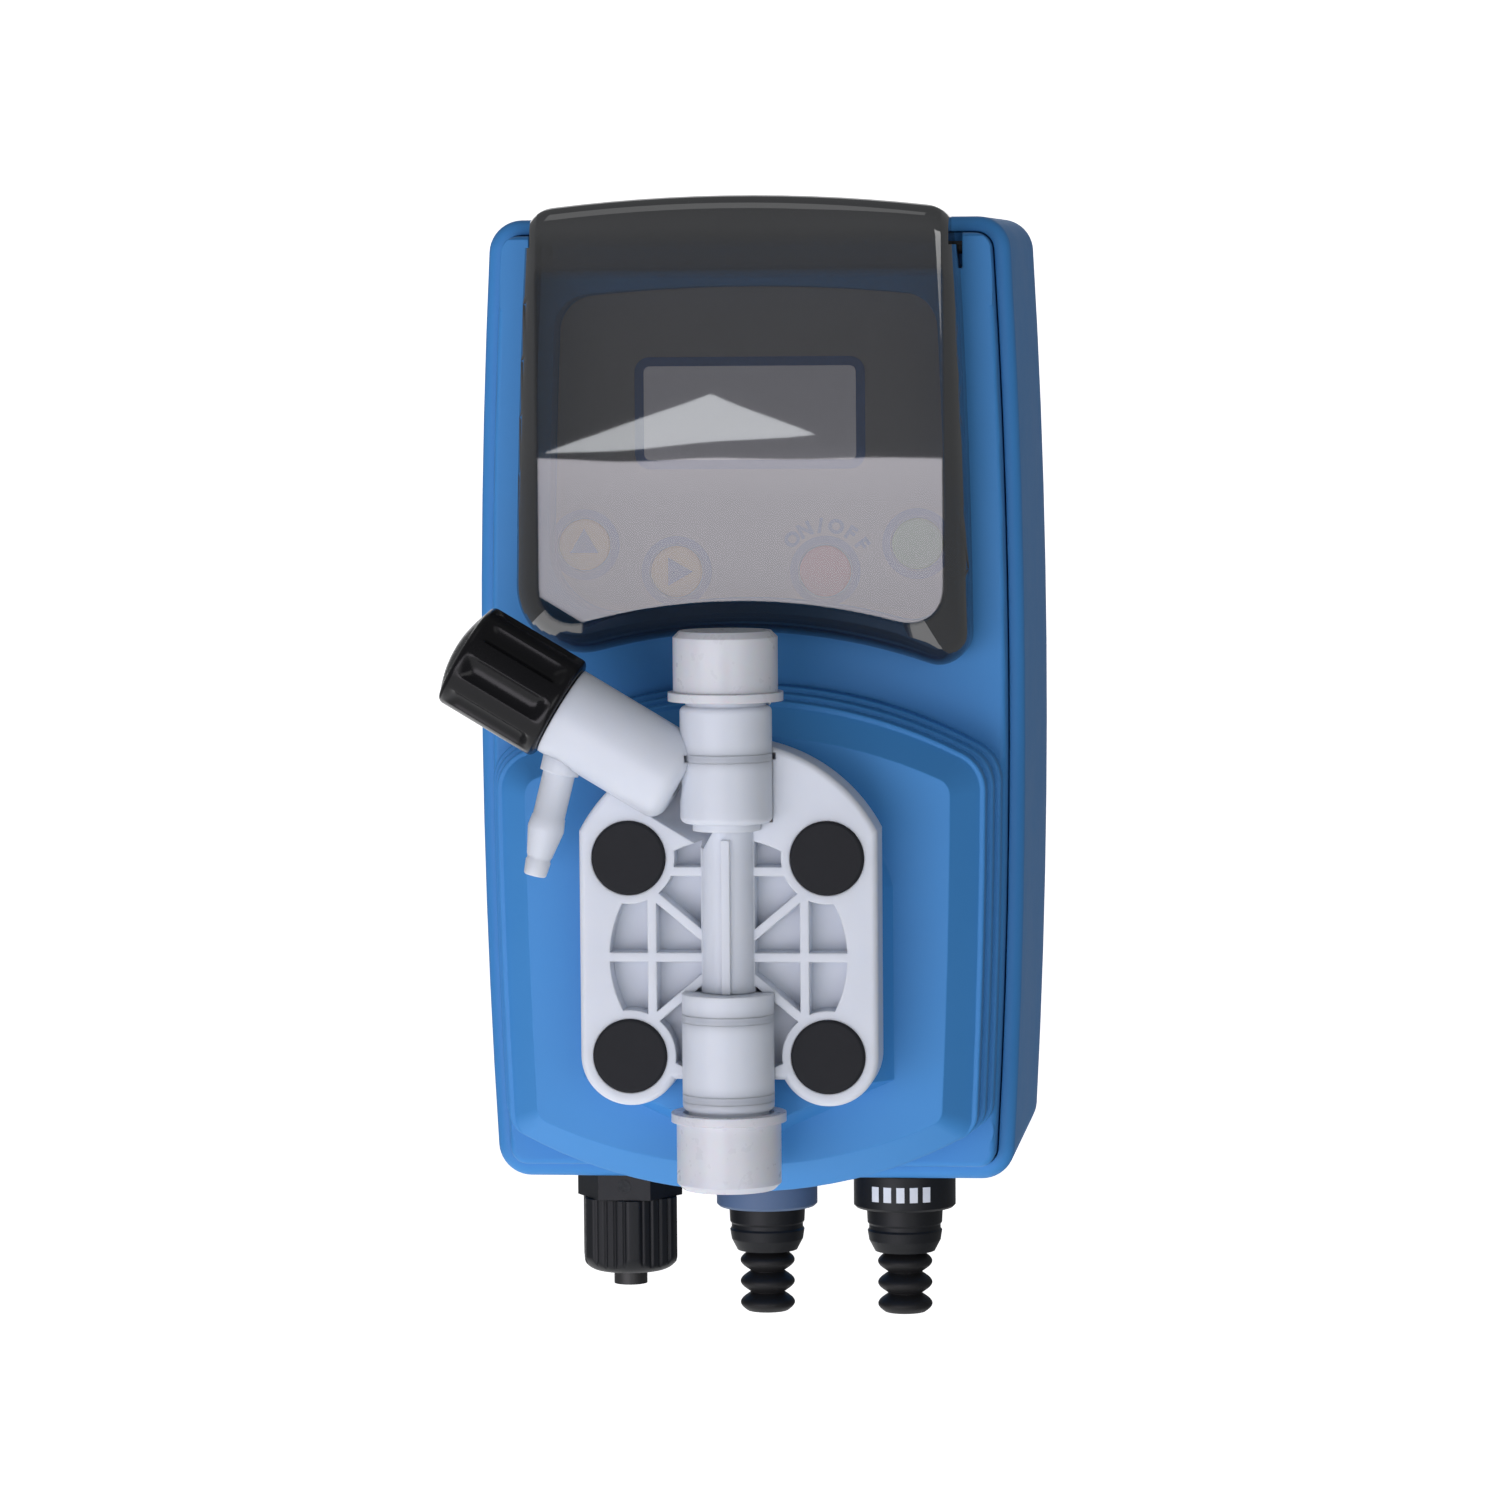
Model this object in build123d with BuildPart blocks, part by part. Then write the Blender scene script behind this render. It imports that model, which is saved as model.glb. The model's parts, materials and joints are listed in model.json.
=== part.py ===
from build123d import *
import os
from math import cos, radians, sin

os.makedirs("parts", exist_ok=True)

# Wall-mounted solenoid diaphragm metering pump, millimetres.
# +Z is up, the wall is the plane y = 0 and the front looks along -Y.
# "depth" is always the distance in front of the wall.

# ---- driving dimensions ------------------------------------------------------------------
case_width = 107.0
case_height = 188.0
case_depth = 70.0            # wall to the front of the rim
side_bow = 2.8               # the side walls swell by this much at mid height
case_corner = 6.5
case_wall = 4.4
back_wall = 3.0
rim_width = 2.9
rim_round = 2.5
seat_depth = 4.8             # pocket in the rim that takes the gasket and the front shell
gasket_thickness = 0.8
fit_gap = 0.3                # visible line between the rim and the front shell
seat_gap = 0.05              # faces of fitted pieces that touch
running_gap = 0.05           # radial clearance of pins and spindles
free_gap = 0.3               # curved faces of pieces that move apart

# each stage of the front stands out from the one behind it
face_rise = 5.5              # rim to the flat front around the window
face_round = 1.2
shell_wall = 2.6
bulge_inset = 3.9            # side of the lower bulge, in from the case side
bulge_reach = 49.6           # pump axis to the apex of the arched top of the bulge
bulge_top_radius = 94.0
bulge_bottom_radius = 90.0
terrace_count = 3
terrace_inset = 1.1
terrace_rise = 5.17
terrace_round = 0.5
sill_rise = 0.2              # the lower edge of the bulge climbs by this much at each terrace
facet_rise = 5.99
facet_width = 5.3
plateau_bottom_rise = 6.4
pedestal_rise = 5.0
pedestal_draft = 3.6
pedestal_inset = 2.0         # the pedestal stands in from the head's edge by this much
pedestal_bottom_rise = 13.0  # tip of its V above the lower edge of the case

pump_z = -45.7               # axis of the solenoid, the diaphragm and the head
head_thickness = 11.0
head_half_width = 28.35
head_round = 1.2
head_arch_radius = 32.0
head_arch_rise = 9.1
head_screw_pitch = 37.7
head_lobe_radius = 9.2
head_web_drop = 23.3         # lower edge of the head between its lobes, below the axis
rib_thickness = 1.7
rib_field_radius = 22.6
rib_field_depth = 5.5
rib_column = 14.5            # upright ribs, from the axis
rib_row = 16.3               # upper cross rib, above the axis
rib_slope = 40.0
cap_pocket_radius = 7.05
cap_pocket_depth = 5.0
cap_proud = 0.6

valve_rise = 1.0             # axis plane of the valves and the bleed branch, before the head's face
valve_radius = 8.7
valve_round = 1.2
port_radius = 8.35           # thread outside radius of the two ports
port_bore = 4.0
thread_depth = 0.75
neck_length = 2.2            # run-out of the thread, which the dust cap leaves bare
delivery_foot_at = 25.7      # above the pump axis
delivery_body = 22.2
delivery_port = 11.8
suction_shoulder_at = 6.6    # below the pump axis
suction_body = 22.3
suction_port = 12.6
collar_radius = 6.4          # spigot below the delivery valve
collar_length = 1.4
ball_radius = 3.2
ball_lift = 1.2
ring_minor = 0.65            # O-rings around the valve bodies
groove_depth = 0.95
delivery_ring_at = 12.5      # above the foot of the delivery valve
suction_rings_at = (4.6, 19.7)   # below the suction shoulder

bleed_angle = 31.0           # rise of the bleed branch above the horizontal
bleed_rise = 2.4             # where its axis meets the valve axis, above the delivery foot
bleed_radius = 8.75
bleed_round = 3.0
bleed_length = 36.4
knob_radius = 10.35
knob_length = 21.0
knob_flutes = 8
flute_radius = 3.2
flute_standoff = 1.9

connector_set_back = 12.0    # connector axes behind the front of the rim
connector_pitch = 27.4
connector_centre = 1.1
connector_flange = 10.0
connector_hole = 6.1

window_inset = 9.4           # side of the window cover, in from the case side
window_overhang = 4.3        # its arched top stands above the case
window_top_radius = 312.0
window_clear = 10.4          # from the apex of the bulge up to the window's lower edge
window_bottom_radius = 110.0
window_rise = 12.5           # its pane in front of the flat face
window_wall = 2.2
window_round = 4.0
window_corner = 6.0
knob_corner = 13.0           # lower left corner, cut back so that it swings past the bleed knob
window_gap = 0.4
hood_inset = 13.1            # side of the hood, in from the case side
hood_drop = 5.5              # foot of the hood below the top of the case
hood_set_back = 6.0          # its side walls end this far in front of the hinge
hood_side_gap = 1.8
hinge_rise = 3.0             # hinge axis in front of the rim
hinge_drop = 6.0
hinge_pin = 1.25
hinge_bearing = 3.4
ear_radius = 3.0
trough_drop = 10.0
trough_sink = 0.5            # floor of the hinge trough behind the front of the rim

recess_sink = 2.0            # keypad floor behind the front of the rim
recess_inset = 14.5
recess_drop = 13.0
recess_sill = 5.7            # above the window's lower edge
recess_corner = 7.0
film_thickness = 0.5
film_gap = 0.25
key_radius = 5.0
key_height = 1.5
key_travel = 0.5
key_clear = 0.3
key_pocket = 0.8
outer_key_inset = 6.3        # outer keys, in from the side of the recess
outer_key_rise = 10.6        # above the foot of the recess
inner_key_x = 14.6
inner_key_rise = 5.3
display_width = 41.6
display_height = 18.3
display_rise = 36.2
display_sink = 1.2
board_set_back = 12.0        # board behind the keypad floor
board_thickness = 1.6
board_margin = 3.0
board_top_gap = 3.0
post_inset = 17.5            # board posts, in from the case side
post_radius = 3.0
post_margin = 6.0            # from the board's upper and lower edges
board_screw = 1.2
board_screw_head = 2.4
board_screw_depth = 6.0
relay_size = (28.0, 24.0, 20.0)
capacitor_radius = 6.0
capacitor_length = 16.0
terminal_size = (46.0, 8.0, 9.0)

stroke = 1.25
screw_radius = 2.4
screw_head_radius = 4.2
screw_head_height = 3.0
plunger_radius = 8.5
plunger_length = 35.0
coil_radius = 20.0
coil_length = 48.0
coil_cheek = 2.0
yoke_wall = 2.5
end_plate = 4.0
flange_size = 52.0
flange_thickness = 6.0
pole_length = 4.0
spring_sink = 2.0            # spring pocket in the flange
spring_wall = 1.8
rod_radius = 3.0
ring_radius = 21.0
ring_thickness = 8.0
flex_radius = 14.0
diaphragm_radius = 20.0
diaphragm_thickness = 2.0
chamber_length = 4.0

wall_pitch_x = 70.0
wall_pitch_z = 150.0
wall_hole = 2.25
insert_radius = 3.0
insert_length = 10.0
case_screw_inset = 10.5
case_screw_radius = 1.45
case_screw_sink = 6.0
case_screw_head = 3.0
case_screw_grip = 5.0
boss_radius = 4.5

# ---- shared geometry ---------------------------------------------------------------------
half_width = case_width / 2
half_height = case_height / 2
side_radius = (half_height**2 + side_bow**2) / (2 * side_bow)
shell_inset = rim_width + fit_gap
shell_back = case_depth - seat_depth + gasket_thickness
face_depth = case_depth + face_rise
bulge_front = face_depth + terrace_count * terrace_rise
bulge_top = pump_z + bulge_reach
crest = terrace_count * terrace_inset
plateau_inset = bulge_inset + crest + facet_width
plateau_depth = bulge_front + facet_rise
head_back = plateau_depth + pedestal_rise
head_depth = head_back + head_thickness
head_screw = head_screw_pitch / 2
head_screws_at = [(x, pump_z + z) for x in (-head_screw, head_screw) for z in (-head_screw, head_screw)]

valve_depth = head_depth + valve_rise
delivery_foot = pump_z + delivery_foot_at
delivery_shoulder = delivery_foot + delivery_body
delivery_top = delivery_shoulder + delivery_port
delivery_ring_z = delivery_foot + delivery_ring_at
suction_shoulder = pump_z - suction_shoulder_at
suction_collar = suction_shoulder - suction_body
suction_end = suction_collar - suction_port
suction_ring_zs = [suction_shoulder - drop for drop in suction_rings_at]
ring_reach = valve_radius - groove_depth + 2 * ring_minor + free_gap
bleed_foot = delivery_foot + bleed_rise
bleed_dir = (-cos(radians(bleed_angle)), 0, sin(radians(bleed_angle)))

window_top = half_height + window_overhang
window_bottom = bulge_top + window_clear
window_depth = face_depth + window_rise
hood_half_width = half_width - hood_inset
hood_foot = half_height - hood_drop
hinge_depth = case_depth + hinge_rise
hinge_z = half_height - hinge_drop
trough_half_width = hood_half_width + hood_side_gap
trough_foot = half_height - trough_drop
trough_depth = case_depth - trough_sink

recess_floor = case_depth - recess_sink
recess_half_width = half_width - recess_inset
recess_top = half_height - recess_drop
recess_bottom = window_bottom + recess_sill
display_z = recess_bottom + display_rise
outer_key_x = recess_half_width - outer_key_inset
outer_key_z = recess_bottom + outer_key_rise
inner_key_z = recess_bottom + inner_key_rise
keys_at = {"key_up": (-outer_key_x, outer_key_z), "key_right": (-inner_key_x, inner_key_z),
           "key_start": (inner_key_x, inner_key_z), "key_program": (outer_key_x, outer_key_z)}

board_depth = recess_floor - board_set_back
board_front = board_depth + board_thickness
board_top = recess_top - board_top_gap
board_half_width = half_width - post_inset + board_margin
board_posts = [(x, z) for x in (post_inset - half_width, half_width - post_inset)
               for z in (recess_bottom + post_margin, board_top - post_margin)]

flange_depth = head_back - ring_thickness
flange_back = flange_depth - flange_thickness
connector_depth = case_depth - connector_set_back
case_screws_at = [(x, z) for x in (case_screw_inset - half_width, half_width - case_screw_inset)
                  for z in (case_screw_inset - half_height, half_height - case_screw_inset)]


on_foot = (Align.CENTER, Align.CENTER, Align.MIN)


def front(depth):
    """Sketch plane parallel to the wall: x is X, y is Z, and it extrudes away from the wall."""
    return Plane.XZ.offset(depth)


def case_face(inset):
    """Outline of the case with its bowed sides, drawn in by inset."""
    edge_w = half_width - inset - side_bow
    edge_h = half_height - inset
    with BuildSketch() as outline:
        with BuildLine():
            Line((-edge_w, -edge_h), (edge_w, -edge_h))
            ThreePointArc((edge_w, -edge_h), (half_width - inset, 0), (edge_w, edge_h))
            Line((edge_w, edge_h), (-edge_w, edge_h))
            ThreePointArc((-edge_w, edge_h), (inset - half_width, 0), (-edge_w, -edge_h))
        make_face()
        fillet(outline.vertices(), max(case_corner - inset, 1.5))
    return outline.sketch


def between_sides(inset):
    """Circles that trim the sketch in hand to the bowed sides of the case, drawn in by inset."""
    for side in (-1, 1):
        with Locations((side * (half_width - inset - side_radius), 0)):
            Circle(side_radius, mode=Mode.INTERSECT)


def bulge_face(inset, top, bottom, top_corner, bottom_corner):
    """Outline of the lower bulge: arched top, bowed sides and a sagging bottom edge."""
    with BuildSketch() as outline:
        with Locations((0, top - bulge_top_radius)):
            Circle(bulge_top_radius)
        with Locations((0, bottom + bulge_bottom_radius)):
            Circle(bulge_bottom_radius, mode=Mode.INTERSECT)
        between_sides(inset)
        corners = outline.vertices().sort_by(Axis.Y)
        fillet(corners[-2:], top_corner)
        fillet(outline.vertices().sort_by(Axis.Y)[:2], bottom_corner)
    return outline.sketch


def window_face(inset, side, top, bottom, corner):
    """Outline of the window: bowed sides, arched top and an arched lower edge."""
    with BuildSketch() as outline:
        with Locations((0, top - inset - window_top_radius)):
            Circle(window_top_radius)
        between_sides(side + inset)
        with Locations((0, bottom + inset - window_bottom_radius)):
            Circle(window_bottom_radius, mode=Mode.SUBTRACT)
        Rectangle(case_width, case_height, align=(Align.CENTER, Align.MIN), mode=Mode.INTERSECT)
        fillet(outline.vertices().sort_by(Axis.Y)[-2:], corner)
        fillet(outline.vertices().sort_by(Axis.Y)[:2].sort_by(Axis.X)[-1], corner)
        fillet(outline.vertices().sort_by(Axis.Y)[:2].sort_by(Axis.X)[0], max(knob_corner - inset, corner))
    return outline.sketch


def turned(x, depth, points):
    """Solid of revolution about the vertical axis at (x, depth); points are (radius, z)."""
    with BuildPart() as body:
        with BuildSketch(Plane(origin=(x, -depth, 0), x_dir=(1, 0, 0), z_dir=(0, -1, 0))):
            with BuildLine():
                Polyline(*points, close=True)
            make_face()
        revolve(axis=Axis((x, -depth, 0), (0, 0, 1)))
    return body.part


def turned_on_pump_axis(points):
    """Solid of revolution about the pump axis; points are (radius, depth)."""
    with BuildPart() as body:
        with BuildSketch(Plane(origin=(0, 0, pump_z), x_dir=(1, 0, 0), z_dir=(0, 0, 1))):
            with BuildLine():
                Polyline(*[(radius, -depth) for radius, depth in points], close=True)
            make_face()
        revolve(axis=Axis((0, 0, pump_z), (0, 1, 0)))
    return body.part


def keep(body, name):
    """Label a finished piece and write it."""
    body.part.label = name
    export_step(body.part, f"parts/{name}.step")


# ---- case --------------------------------------------------------------------------------
shelf_depth = case_depth - seat_depth
connector_xs = [connector_centre + k * connector_pitch for k in (-1, 0, 1)]

with BuildPart() as rear_housing:
    with BuildSketch(front(0)):
        add(case_face(0))
    extrude(amount=case_depth)
    fillet(rear_housing.faces().sort_by(Axis.Y)[0].edges(), rim_round)
    with BuildSketch(front(back_wall)):
        add(case_face(case_wall))
    extrude(amount=case_depth, mode=Mode.SUBTRACT)
    with BuildSketch(front(shelf_depth)):
        add(case_face(rim_width))
    extrude(amount=seat_depth, mode=Mode.SUBTRACT)
    # columns for the case screws, and short bosses for the wall inserts
    with BuildSketch(front(0)):
        with Locations(*case_screws_at):
            Circle(boss_radius)
    extrude(amount=shelf_depth)
    with BuildSketch(front(0)):
        with GridLocations(wall_pitch_x, wall_pitch_z, 2, 2):
            Circle(insert_radius + 2)
    extrude(amount=insert_length + 3)
    with BuildSketch(front(0)):
        with Locations(*case_screws_at):
            Circle(case_screw_head + free_gap)
    extrude(amount=case_screw_sink, mode=Mode.SUBTRACT)
    with BuildSketch(front(0)):
        with Locations(*case_screws_at):
            Circle(case_screw_radius + free_gap)
    extrude(amount=case_depth, mode=Mode.SUBTRACT)
    with BuildSketch(front(0)):
        with GridLocations(wall_pitch_x, wall_pitch_z, 2, 2):
            Circle(insert_radius)
    extrude(amount=insert_length, mode=Mode.SUBTRACT)
    # cable entries in the underside
    for x in connector_xs:
        with Locations(Plane(origin=(x, -connector_depth, -half_height))):
            Cylinder(connector_hole, 4 * case_wall, mode=Mode.SUBTRACT)
keep(rear_housing, "rear_housing")

with BuildPart() as wall_inserts:
    with BuildSketch(front(0)):
        with GridLocations(wall_pitch_x, wall_pitch_z, 2, 2):
            Circle(insert_radius)
            Circle(wall_hole, mode=Mode.SUBTRACT)
    extrude(amount=insert_length)
keep(wall_inserts, "wall_inserts")

with BuildPart() as case_gasket:
    with BuildSketch(front(shelf_depth)):
        add(case_face(shell_inset))
        add(case_face(case_wall - 0.1), mode=Mode.SUBTRACT)
    extrude(amount=gasket_thickness)
keep(case_gasket, "case_gasket")

# the front shell: flat face, stepped bulge, bevelled plateau and the pedestal of the pump head
v_apex = pedestal_bottom_rise - half_height


def pedestal_face(grow):
    """Raised seat of the pump head: an arched block with a shallow V along its lower edge."""
    wide = head_half_width - pedestal_inset + grow
    spring = pump_z + head_arch_rise + 3
    foot = pump_z - head_lobe_radius - head_screw + 3
    with BuildSketch() as outline:
        with BuildLine():
            ThreePointArc((-wide, spring), (0, pump_z + head_arch_radius + grow), (wide, spring))
            Polyline((wide, spring), (wide, foot), (0, v_apex - grow), (-wide, foot), (-wide, spring))
        make_face()
    return outline.sketch


def terrace(step):
    """One stage of the stepped bulge, with its front edge rounded."""
    start = case_depth + fit_gap if step == 0 else face_depth + step * terrace_rise - 2 * terrace_round
    with BuildPart() as stage:
        with BuildSketch(front(start)):
            add(bulge_face(bulge_inset + step * terrace_inset, bulge_top - step * terrace_inset,
                           step * sill_rise - half_height, 8.0, 5.0))
        extrude(amount=face_depth + (step + 1) * terrace_rise - start)
        fillet(stage.faces().sort_by(Axis.Y)[0].edges(), terrace_round)
    return stage.part


with BuildPart() as front_shell:
    with BuildSketch(front(shell_back)):
        add(case_face(shell_inset))
    extrude(amount=face_depth - shell_back)
    fillet(front_shell.faces().sort_by(Axis.Y)[0].edges(), face_round)
    for step in range(terrace_count):
        add(terrace(step))
    with BuildSketch(front(bulge_front)):
        add(bulge_face(bulge_inset + crest, bulge_top - crest, terrace_count * sill_rise - half_height,
                       7.0, 4.5))
    with BuildSketch(front(plateau_depth)):
        add(bulge_face(plateau_inset, bulge_top - crest - facet_width, plateau_bottom_rise - half_height,
                       3.5, 3.0))
    loft()
    with BuildSketch(front(plateau_depth)):
        add(pedestal_face(pedestal_draft))
    with BuildSketch(front(head_back)):
        add(pedestal_face(0))
    loft()
    # inside
    with BuildSketch(front(shell_back)):
        add(case_face(shell_inset + shell_wall))
    extrude(amount=face_depth - shell_wall - shell_back, mode=Mode.SUBTRACT)
    with BuildSketch(front(shell_back)):
        add(bulge_face(plateau_inset + shell_wall, bulge_top - crest - facet_width - shell_wall,
                       shell_inset + shell_wall - half_height, 4.0, 4.0))
    extrude(amount=bulge_front - shell_wall - shell_back, mode=Mode.SUBTRACT)
    with BuildSketch(front(shell_back)):
        add(bulge_face(plateau_inset + 2, bulge_top - crest - facet_width - 2,
                       plateau_bottom_rise + 2 - half_height, 4.0, 4.0))
    extrude(amount=flange_depth - shell_back, mode=Mode.SUBTRACT)
    # tray behind the keypad and the hinge trough, and bosses for the case screws
    with BuildSketch(front(shell_back)):
        add(window_face(0, window_inset + 2, window_top, window_bottom, 4.0))
        add(case_face(shell_inset), mode=Mode.INTERSECT)
    extrude(amount=face_depth - shell_back)
    with BuildSketch(front(shell_back)):
        with Locations(*case_screws_at):
            Circle(boss_radius)
        add(case_face(shell_inset), mode=Mode.INTERSECT)
    extrude(amount=face_depth - shell_back)
    with BuildSketch(front(shell_back)):
        with Locations(*[(x, z) for x, z in case_screws_at if z > 0]):
            Rectangle(2 * boss_radius + 1, 3 * boss_radius)
        add(case_face(shell_inset), mode=Mode.INTERSECT)
    extrude(amount=face_depth - shell_back)
    with BuildSketch(front(recess_floor)):
        add(window_face(0, recess_inset, recess_top, recess_bottom, recess_corner))
    extrude(amount=face_depth, mode=Mode.SUBTRACT)
    with BuildSketch(front(recess_floor - key_pocket)):
        with Locations(*keys_at.values()):
            Circle(key_radius + key_clear)
    extrude(amount=key_pocket, mode=Mode.SUBTRACT)
    with BuildSketch(front(recess_floor - display_sink)):
        with Locations((0, display_z)):
            Rectangle(display_width + 0.1, display_height + 0.1)
    extrude(amount=display_sink, mode=Mode.SUBTRACT)
    with BuildSketch(front(board_front)):
        with Locations(*board_posts):
            Circle(post_radius)
    extrude(amount=shell_back + 1 - board_front)
    with BuildSketch(front(board_front)):
        with Locations(*board_posts):
            Circle(board_screw + seat_gap)
    extrude(amount=board_screw_depth + 0.5, mode=Mode.SUBTRACT)
    with BuildSketch(front(flange_depth - 1)):
        with Locations((0, pump_z)):
            Circle(ring_radius + seat_gap)
        with Locations(*head_screws_at):
            Circle(screw_radius + 0.2)
    extrude(amount=head_back, mode=Mode.SUBTRACT)
    with BuildSketch(front(trough_depth)):
        with Locations((0, trough_foot)):
            Rectangle(2 * trough_half_width, case_height, align=(Align.CENTER, Align.MIN))
    extrude(amount=face_depth, mode=Mode.SUBTRACT)
    with Locations(Plane(origin=(0, -hinge_depth, hinge_z), z_dir=(1, 0, 0))):
        Cylinder(hinge_pin + 0.02, 2 * (trough_half_width + hinge_bearing + 0.1), mode=Mode.SUBTRACT)
    with BuildSketch(front(shell_back)):
        with Locations(*case_screws_at):
            Circle(case_screw_radius + seat_gap)
    extrude(amount=case_screw_grip + 0.5, mode=Mode.SUBTRACT)
keep(front_shell, "front_shell")

with BuildPart() as case_screws:
    with BuildSketch(front(case_screw_sink - case_screw_head)):
        with Locations(*case_screws_at):
            Circle(case_screw_head)
    extrude(amount=case_screw_head)
    with BuildSketch(front(case_screw_sink)):
        with Locations(*case_screws_at):
            Circle(case_screw_radius)
    extrude(amount=shell_back + case_screw_grip - case_screw_sink)
    with BuildSketch(front(case_screw_sink - case_screw_head)):
        with Locations(*case_screws_at):
            RegularPolygon(case_screw_radius, 6)
    extrude(amount=case_screw_head / 2, mode=Mode.SUBTRACT)
keep(case_screws, "case_screws")

# ---- window cover and its hinge ----------------------------------------------------------
window_back = face_depth + window_gap
hood_back = hinge_depth + hood_set_back


def window_box(inset, depth, rounding):
    """Solid of the window's outline, drawn in by inset, with a rounded front and narrowed at the hood."""
    with BuildPart() as box:
        with BuildSketch(front(window_back)):
            add(window_face(inset, window_inset, window_top, window_bottom, window_corner))
        extrude(amount=depth - window_back)
        fillet(box.faces().sort_by(Axis.Y)[0].edges(), rounding)
        with BuildSketch(front(window_back)):
            for side in (-1, 1):
                with Locations((side * (hood_half_width - inset + half_width / 2), hood_foot - inset)):
                    Rectangle(half_width, half_height, align=(Align.CENTER, Align.MIN))
        extrude(amount=depth, mode=Mode.SUBTRACT)
    return box.part


with BuildPart() as window_cover:
    add(window_box(0, window_depth, window_round))
    add(window_box(window_wall, window_depth - window_wall, window_round - window_wall), mode=Mode.SUBTRACT)
    # the hood stops short of the case so that it can swing back over the hinge
    with BuildSketch(front(window_back)):
        with Locations((0, hood_foot)):
            Rectangle(case_width, half_height, align=(Align.CENTER, Align.MIN))
    extrude(amount=hood_back - window_back, mode=Mode.SUBTRACT)
    # hinge ears
    for side in (-1, 1):
        with BuildSketch(Plane.YZ.offset(side * (hood_half_width - window_wall / 2))):
            with Locations((-hinge_depth, hinge_z)):
                Circle(ear_radius)
                Rectangle(hood_back + 2 - hinge_depth, 2 * ear_radius, align=(Align.MAX, Align.CENTER))
        extrude(amount=window_wall / 2, both=True)
    with Locations(Plane(origin=(0, -hinge_depth, hinge_z), z_dir=(1, 0, 0))):
        Cylinder(hinge_pin + running_gap, case_width, mode=Mode.SUBTRACT)
keep(window_cover, "window_cover")

with BuildPart() as hinge_pins:
    for side in (-1, 1):
        with BuildSketch(Plane.YZ.offset(side * (hood_half_width - window_wall))):
            with Locations((-hinge_depth, hinge_z)):
                Circle(hinge_pin)
        extrude(amount=side * (hood_side_gap + hinge_bearing + window_wall))
keep(hinge_pins, "hinge_pins")

# ---- keypad, display and boards ----------------------------------------------------------

with BuildPart() as keypad_film:
    with BuildSketch(front(recess_floor)):
        add(window_face(film_gap, recess_inset, recess_top, recess_bottom, recess_corner))
        with Locations((0, display_z)):
            Rectangle(display_width + 0.2, display_height + 0.2, mode=Mode.SUBTRACT)
        with Locations(*keys_at.values()):
            Circle(key_radius + key_clear, mode=Mode.SUBTRACT)
    extrude(amount=film_thickness)
keep(keypad_film, "keypad_film")

for name, (x, z) in keys_at.items():
    with BuildPart() as key_cap:
        with BuildSketch(front(recess_floor - key_pocket + key_travel + 0.1)):
            with Locations((x, z)):
                Circle(key_radius)
        extrude(amount=key_height)
        fillet(key_cap.faces().sort_by(Axis.Y)[0].edges(), 0.5)
    keep(key_cap, name)

with BuildPart() as display_module:
    with BuildSketch(front(recess_floor - display_sink)):
        with Locations((0, display_z)):
            Rectangle(display_width, display_height)
    extrude(amount=display_sink + film_thickness)
keep(display_module, "display_module")

with BuildPart() as control_board:
    with BuildSketch(front(board_depth)):
        with Locations((0, recess_bottom)):
            Rectangle(2 * board_half_width, board_top - recess_bottom, align=(Align.CENTER, Align.MIN))
        with Locations(*board_posts):
            Circle(board_screw + 3 * seat_gap, mode=Mode.SUBTRACT)
    extrude(amount=board_thickness)
keep(control_board, "control_board")

# relay, two capacitors and the terminal block, on the back of the board
with BuildPart() as board_parts:
    with BuildSketch(front(board_depth)):
        with Locations((-0.7 * relay_size[0], display_z)):
            Rectangle(relay_size[0], relay_size[1])
    extrude(amount=-relay_size[2])
    with BuildSketch(front(board_depth)):
        with Locations((2 * capacitor_radius, display_z + 1.3 * capacitor_radius),
                       (2 * capacitor_radius, display_z - 1.3 * capacitor_radius)):
            Circle(capacitor_radius)
    extrude(amount=-capacitor_length)
    with BuildSketch(front(board_depth)):
        with Locations((0, recess_bottom + post_margin)):
            Rectangle(terminal_size[0], terminal_size[1])
    extrude(amount=-terminal_size[2])
keep(board_parts, "board_parts")

with BuildPart() as board_screws:
    with BuildSketch(front(board_depth - board_screw_head / 1.5)):
        with Locations(*board_posts):
            Circle(board_screw_head)
    extrude(amount=board_screw_head / 1.5)
    with BuildSketch(front(board_depth)):
        with Locations(*board_posts):
            Circle(board_screw)
    extrude(amount=board_thickness + board_screw_depth)
keep(board_screws, "board_screws")

# ---- solenoid ----------------------------------------------------------------------------
guide_inner = plunger_radius + running_gap
guide_outer = guide_inner + 1.0
pole_face = flange_back - pole_length
spring_pocket = flange_back + spring_sink
plunger_front = pole_face - free_gap - 3 * stroke
plunger_back = plunger_front - plunger_length
coil_front = flange_back - end_plate - coil_cheek
coil_back = coil_front - coil_length
yoke_radius = coil_radius + yoke_wall
spring_inner = rod_radius + 2 * free_gap
spring_outer = spring_inner + spring_wall

with BuildPart() as solenoid_flange:
    with BuildSketch(front(flange_back)):
        with Locations((0, pump_z)):
            RectangleRounded(flange_size, flange_size, 5)
        with Locations(*head_screws_at):
            Circle(screw_radius + seat_gap, mode=Mode.SUBTRACT)
    extrude(amount=flange_thickness)
    add(turned_on_pump_axis([(0, pole_face), (guide_inner - seat_gap, pole_face),
                             (guide_inner - seat_gap, flange_back + 1), (0, flange_back + 1)]))
    add(turned_on_pump_axis([(0, pole_face - 1), (spring_outer + free_gap, pole_face - 1),
                             (spring_outer + free_gap, spring_pocket), (0, spring_pocket)]),
        mode=Mode.SUBTRACT)
    add(turned_on_pump_axis([(0, pole_face), (rod_radius + running_gap, pole_face),
                             (rod_radius + running_gap, flange_depth + 1), (0, flange_depth + 1)]),
        mode=Mode.SUBTRACT)
keep(solenoid_flange, "solenoid_flange")

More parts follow.
